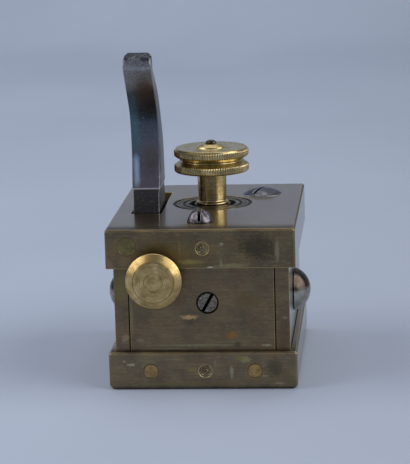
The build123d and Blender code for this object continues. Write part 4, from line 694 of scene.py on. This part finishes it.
def makeButton(look):
    # flat face with scribed rings, wide bevel and short skirt; heights run back along +Y from the face
    bore, face, radius, bevel = look["bore"], look["face"], look["radius"], look["bevel"]
    width, depth, back = look["ringWidth"], look["ringDepth"], look["skirt"] + bevel
    rings = [(r + side * width, depth * (side == 0)) for r in look["rings"] for side in (-1, 0, 1)]
    outline = softCorners([
        (bore, 0.25), (bore + 0.02, 0.06), (bore + 0.1, 0.0), *rings,
        (face - 0.12, 0.0), (face - 0.03, 0.12), (face + 0.08, 0.1), (radius - 0.12, bevel - 0.06),
        (radius, bevel + 0.1), (radius - look["taper"], back - 0.1),
        (radius - look["taper"] - 0.15, back), (bore, back), (bore, 0.4),
    ], look["rounding"])

    def scribed(angle, radius, height):
        # marks the scribed rings and the gap about the stem as cut, without moving them
        return trace * ((radius < face) & (height > 0.02) & (height < 0.2))

    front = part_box("trigger_head")[0][1] / mm
    centre = (buttonCentre[0], front, buttonCentre[2])
    item = turnedPiece("bevelledButton", outline, centre, 1, look["columns"], scribed)
    handOver(item, "trigger", "turned_brass", "buttonBrass", "trigger_head")


# radius, height above the side and bore that closes it, in mm
domeLook = {"radius": 4.55, "height": 3.4, "bore": 0.02, "columns": 128, "rows": 40}


def makeDome(look, node, name, side):
    # cap of a sphere with its flat towards the case: r = R sin q, h = R cos q - (R - height)
    sphere = (look["radius"] ** 2 + look["height"] ** 2) / (2 * look["height"])
    widest = math.asin(look["radius"] / sphere)
    q = np.linspace(widest, math.asin(look["bore"] / sphere), look["rows"])
    cap = np.stack([sphere * np.sin(q), sphere * np.cos(q) - (sphere - look["height"])], 1)
    edge = [(look["bore"], 0.0), (look["radius"] - 0.12, 0.0), (look["radius"], 0.1)]
    outline = np.vstack([edge, cap[2:]])
    low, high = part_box(node)
    foot = (low[0] if side > 0 else high[0]) / mm
    centre = (foot, middle(node, 1), middle(node, 2))
    outline[:, 1] *= side
    item = turnedPiece(name, outline if side > 0 else outline[::-1], centre, 0, look["columns"])
    handOver(item, "lever", "turned_brass", "domeSteel", node)


leverShape = {
    # side view of the lever above its shoulder, in hundredths of its height: back from its pivot, up
    # from the lid, and the corner's radius
    "corners": ((-3.4, 38.6, 59), (-7.9, 61.1, 26.7), (-36.6, 92.6, 7.4), (-34.6, 98.5, 2.7),
                (-26.6, 101.9, 1.8), (-26.6, 91.1, 5.9), (0.4, 73.0, 89), (21.8, 40.4, 26.7)),
    "foot": (-8.2, 24.2), "shoulder": 4.85, "height": 33.7, "step": 0.18, "sink": 2.6, "hub": 4.6, "arm": 2.2,
    "edge": 0.12, "tipEdge": 0.75, "tipFrom": 29.5, "arch": 0.14, "archHeight": 1.0, "rootReach": 9.6,
    "rootEdge": 0.08,
}


def barMesh(outline, left, right, edge, narrow=1.0):
    # Bar from an outline in the (y, z) plane, x from left to right, all in mm. Across the bar, angle a
    # runs 0 to 90 degrees and back: x = left + e (1 - cos a), and the outline moves in by e (1 - sin a),
    # so that each long edge is a quarter round of radius e. The edge radius and how far the bar narrows
    # about its middle are one number, or one for each point of the outline.
    y, z = outline.T
    edge, narrow = (np.broadcast_to(value, len(outline)) for value in (edge, narrow))
    if (y * np.roll(z, -1) - z * np.roll(y, -1)).sum() < 0:
        outline, edge, narrow = outline[::-1], edge[::-1], narrow[::-1]
    along = np.roll(outline, -1, 0) - np.roll(outline, 1, 0)
    inward = np.stack([-along[:, 1], along[:, 0]], 1) / np.hypot(*along.T)[:, None]
    a = np.linspace(0, math.pi / 2, 6)
    near, inset = edge[:, None] * (1 - np.cos(a)), edge[:, None] * (1 - np.sin(a))
    x = np.hstack([left + near, right - near[:, ::-1]])
    inset = np.hstack([inset, inset[:, ::-1]])
    middleX = (left + right) / 2
    x = middleX + (x - middleX) * narrow[:, None]
    yz = outline[:, None, :] + inward[:, None, :] * inset[:, :, None]
    points = np.concatenate([x[:, :, None], yz], 2)
    rows, columns = x.shape
    faces = gridFaces(rows, columns, rows, columns - 1)[:, [0, 3, 2, 1]].tolist()
    ends = np.arange(rows) * columns
    return points.reshape(-1, 3), faces + [ends[::-1].tolist(), (ends + columns - 1).tolist()]


def makeLever(look):
    # curved finger lever, stepped in at its shoulder, with the root and arm that carry it on its arbor
    unit = look["height"] / 100
    low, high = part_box("cocking_lever")
    left, right = low[0] / mm, high[0] / mm
    pivotY, pivotZ = middle("left_dome", 1), middle("left_dome", 2)
    corners = np.array(look["corners"])
    foot = lidTop + look["shoulder"]
    path = np.vstack([[look["foot"][0], 0], corners[:, :2], [look["foot"][1], 0]]) * unit + [pivotY, lidTop]
    path[[0, -1], 1] = foot
    upper = softCorners(path, corners[:, 2] * unit, 14)
    height = upper[:, 1]
    top, tip = height.max(), lidTop + look["tipFrom"]
    worn = (look["tipEdge"] - look["edge"]) * np.clip((height - tip) / (top - tip), 0, 1) ** 2
    arched = look["arch"] * np.clip((height - top) / look["archHeight"] + 1, 0, 1) ** 2
    rootFront, rootBack, rootFoot = path[0, 0] + look["edge"], path[-1, 0] - 0.05, lidTop - look["sink"]
    rootEnd = pivotY + look["rootReach"]
    root = np.array([(rootFront, foot + 0.05), (rootBack, foot + 0.05), (rootEnd, rootFoot),
                     (rootFront - 1.0, rootFoot)])
    below = np.linspace(math.pi, 2 * math.pi, 24)
    eye = np.stack([pivotY + look["hub"] * np.cos(below), pivotZ + look["hub"] * np.sin(below)], 1)
    armTop = rootFoot + 0.6
    arm = np.vstack([[(rootFront - 0.8, armTop)], eye, [(rootEnd - 0.2, armTop)]])
    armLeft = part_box("drive_sector")[0][0] / mm - look["arm"]
    points, faces = np.zeros((0, 3)), []
    for barPoints, barFaces in (
        barMesh(upper, left, right, look["edge"] + worn, 1 - arched),
        barMesh(root, left + look["step"], right - look["step"], look["rootEdge"]),
        barMesh(arm, armLeft, armLeft + look["arm"], look["rootEdge"]),
    ):
        faces += [[corner + len(points) for corner in face] for face in barFaces]
        points = np.vstack([points, barPoints])
    item = newPiece("fingerLever", points * mm, faces, 35)
    handOver(item, "lever", "blued_steel", "bluedLeverSteel", "cocking_lever")


# radii, heights above the lid and the slot's half width, in mm
topScrewLook = {
    "radius": 2.6, "rise": 2.66, "power": 2.3, "round": 0.72, "lip": 0.16, "shank": 1.3, "rows": 44,
    "columns": 240, "slot": 0.29, "slotFloor": 0.45, "slotDepth": 0.65, "slotWall": 0.06,
    "dents": 16, "dentDepth": 0.13, "dentSize": 0.5, "seed": 5,
}


def makeTopScrew(look):
    # Hammered domed head with a slot from front to back, on a plain shank: the head's height at radius r
    # is rise (1 - (r / radius) ** power) ** round, less a Gaussian dent at each of the seeded places.
    centre = (middle("top_screw", 0), middle("top_screw", 1), lidTop)
    radius, lip, shank = look["radius"], look["lip"], look["shank"]
    r = radius * np.sin(np.linspace(0.01, math.pi / 2, look["rows"]))[::-1]
    head = np.stack([r, lip + (look["rise"] - lip) * (1 - (r / radius) ** look["power"]) ** look["round"]], 1)
    foot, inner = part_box("top_screw")[0][2] / mm - lidTop, r[-1]
    stem = [(inner, foot), (shank, foot), (shank, -0.02), (radius, -0.02), (radius, lip * 0.6)]
    random = np.random.default_rng(look["seed"])
    spread = radius * np.sqrt(random.uniform(0.02, 0.95, look["dents"]))
    turn = random.uniform(0, 2 * math.pi, look["dents"])
    dentX, dentY = spread * np.cos(turn), spread * np.sin(turn)

    def sunk(x, y, height):
        # the deeper of the dents and the slot, whose walls are eased by t t (3 - 2 t)
        away = (x[..., None] - dentX) ** 2 + (y[..., None] - dentY) ** 2
        dents = (look["dentDepth"] * np.exp(-away / look["dentSize"] ** 2)).sum(-1)
        dents = np.minimum(dents, np.clip(height - 0.2, 0, None))
        t = np.clip((look["slot"] + look["slotWall"] - np.abs(x)) / look["slotWall"], 0, 1)
        slot = t * t * (3 - 2 * t) * np.clip(height - look["slotFloor"], 0, look["slotDepth"])
        return np.where(height > lip * 0.9, np.maximum(dents, slot), 0.0)

    item = turnedPiece("hammeredScrew", np.vstack([stem, head]), centre, 2, look["columns"], None, sunk)
    handOver(item, "case", "steel", "hammeredScrewSteel", "top_screw")


print("lever")
makeLever(leverShape)
makeTopScrew(topScrewLook)
print("turned pieces")
makeKnob(knobLook)
makeBush(bushLook)
makeButton(buttonLook)
makeDome(domeLook, "left_dome", "leftDome", -1)
makeDome(domeLook, "right_dome", "rightDome", 1)

# tones of the paper, the painted shade that darkens it across x, where that begins and is full, and lengths
# in metres
stageLook = {
    "paper": "#b3bccd", "shade": "#a9b2c3", "paintedShadeTone": "#a0a8b6", "shadeFrom": -0.03, "shadeFull": 0.13,
    "floorFront": -1.6, "floorDepth": 0.55, "bend": 0.12, "height": 1.2, "width": 3.0, "rows": 90,
    "cloud": 0.15, "rough": 0.85,
}


def buildStage(look):
    # Pale seamless backdrop: a sheet that runs level under the object, then bends up behind it.
    # Two parameters: s along its profile (level, quarter circle, upright) and x across it.
    s = np.linspace(0, 1, look["rows"])
    front, back, radius = look["floorFront"], look["floorDepth"], look["bend"]
    arc = radius * math.pi / 2
    lengths = np.array([back - front, arc, look["height"]])
    walked = s * lengths.sum()
    angle = np.clip((walked - lengths[0]) / radius, 0, math.pi / 2)
    turned = walked >= lengths[0]
    y = np.where(turned, back + radius * np.sin(angle), front + walked)
    z = np.where(turned, radius * (1 - np.cos(angle)), 0.0) + np.clip(walked - lengths[0] - arc, 0, None)
    x = np.linspace(-look["width"] / 2, look["width"] / 2, 3)
    points = np.stack(np.broadcast_arrays(x[None, :], y[:, None], z[:, None]), -1).reshape(-1, 3)
    rows, columns = len(s), len(x)
    item = newPiece("backdrop", points, gridFaces(rows, columns, rows - 1, columns - 1).tolist(), 38)
    # Matt background paper, which scatters light evenly, with painted shade darkening it towards +x
    material, tree, place = startMaterial("mattPaper")
    cloudSize = {"Scale": 1 / look["cloud"], "Detail": 2.0}
    cloud = addNode(tree, "TexNoise", cloudSize, {"Vector": place})
    stops = ((0.3, look["shade"]), (0.7, look["paper"]))
    colour = addNode(tree, "ValToRGB", {"stops": stops}, {"Fac": cloud})
    # painted shade: the paper darkens across x
    across = addNode(tree, "SeparateXYZ", None, {0: place})
    spans = {"From Min": look["shadeFrom"], "From Max": look["shadeFull"]}
    across = addNode(tree, "MapRange", spans, {"Value": across})
    colour = addNode(tree, "Mix", {"data_type": "RGBA", 7: look["paintedShadeTone"]}, {0: across, 6: colour}, 2)
    shader = addNode(tree, "BsdfPrincipled", {"Roughness": look["rough"]}, {"Base Color": colour})
    addNode(tree, "OutputMaterial", None, {"Surface": shader})
    item.data.materials.append(material)


print("stage")
buildStage(stageLook)

# each softbox by its direction from the object, in degrees, its distance and size in metres, its watts
lightLook = {
    "leftBox": {"azimuth": -82, "elevation": 36, "distance": 0.85, "size": 0.75, "power": 4.0},
    "rightBox": {"azimuth": 76, "elevation": 33, "distance": 0.85, "size": 0.85, "power": 5.6},
    "topBox": {"azimuth": 180, "elevation": 70, "distance": 1.0, "size": 0.7, "power": 1.9},
}
lightTarget = Vector((0, 0, 0.025))  # the object's middle
roomLook = {"colour": "#a9b3c8", "strength": 0.34}


def addLights(look):
    # soft boxes, each turned to the object's middle
    for name, box in look.items():
        lamp = bpy.data.lights.new(name, "AREA")
        lamp.shape = "SQUARE"
        lamp.size = box["size"]
        lamp.energy = box["power"]
        item = bpy.data.objects.new(name, lamp)
        around, above = math.radians(box["azimuth"]), math.radians(box["elevation"])
        level = math.cos(above)
        away = Vector((math.sin(around) * level, -math.cos(around) * level, math.sin(above)))
        item.location = lightTarget + away * box["distance"]
        item.rotation_euler = (-away).to_track_quat("-Z", "Y").to_euler()
        bpy.context.scene.collection.objects.link(item)


addLights(lightLook)
world = bpy.data.worlds.new("softRoom")
bpy.context.scene.world = world
world.use_nodes = True
room = world.node_tree.nodes["Background"].inputs
room["Color"].default_value = hexToLinear(roomLook["colour"])
room["Strength"].default_value = roomLook["strength"]

cameraLook = {
    "azimuth": 5.043, "elevation": 11.469, "roll": -1.626,  # degrees
    "target": (-1.013, 0.0, 27.283), "distance": 457.718,  # mm
    "focalPixels": 2180.05, "frameHeight": 464, "sensor": 36, "clip": (0.01, 20),  # sensor mm, clip metres
}


def addCamera(look):
    # the photograph's viewpoint: back from the target along azimuth and elevation, then rolled
    azimuth, elevation, roll = (math.radians(look[k]) for k in ("azimuth", "elevation", "roll"))
    level = math.cos(elevation)
    back = Vector((math.sin(azimuth) * level, -math.cos(azimuth) * level, math.sin(elevation)))
    right = (-back).cross(Vector((0, 0, 1))).normalized()
    up = right.cross(-back)
    rightTurned = right * math.cos(roll) + up * math.sin(roll)
    upTurned = -right * math.sin(roll) + up * math.cos(roll)
    data = bpy.data.cameras.new("photoCamera")
    data.sensor_width = look["sensor"]
    data.lens = look["focalPixels"] / look["frameHeight"] * data.sensor_width
    data.clip_start, data.clip_end = look["clip"]
    item = bpy.data.objects.new("photoCamera", data)
    turn = Matrix((rightTurned, upTurned, back)).transposed()
    spot = (Vector(look["target"]) + back * look["distance"]) * mm
    item.matrix_world = Matrix.Translation(spot) @ turn.to_4x4()
    bpy.context.scene.collection.objects.link(item)
    bpy.context.scene.camera = item


print("camera")
addCamera(cameraLook)
bpy.context.scene.view_settings.view_transform = "Standard"

print("finished")
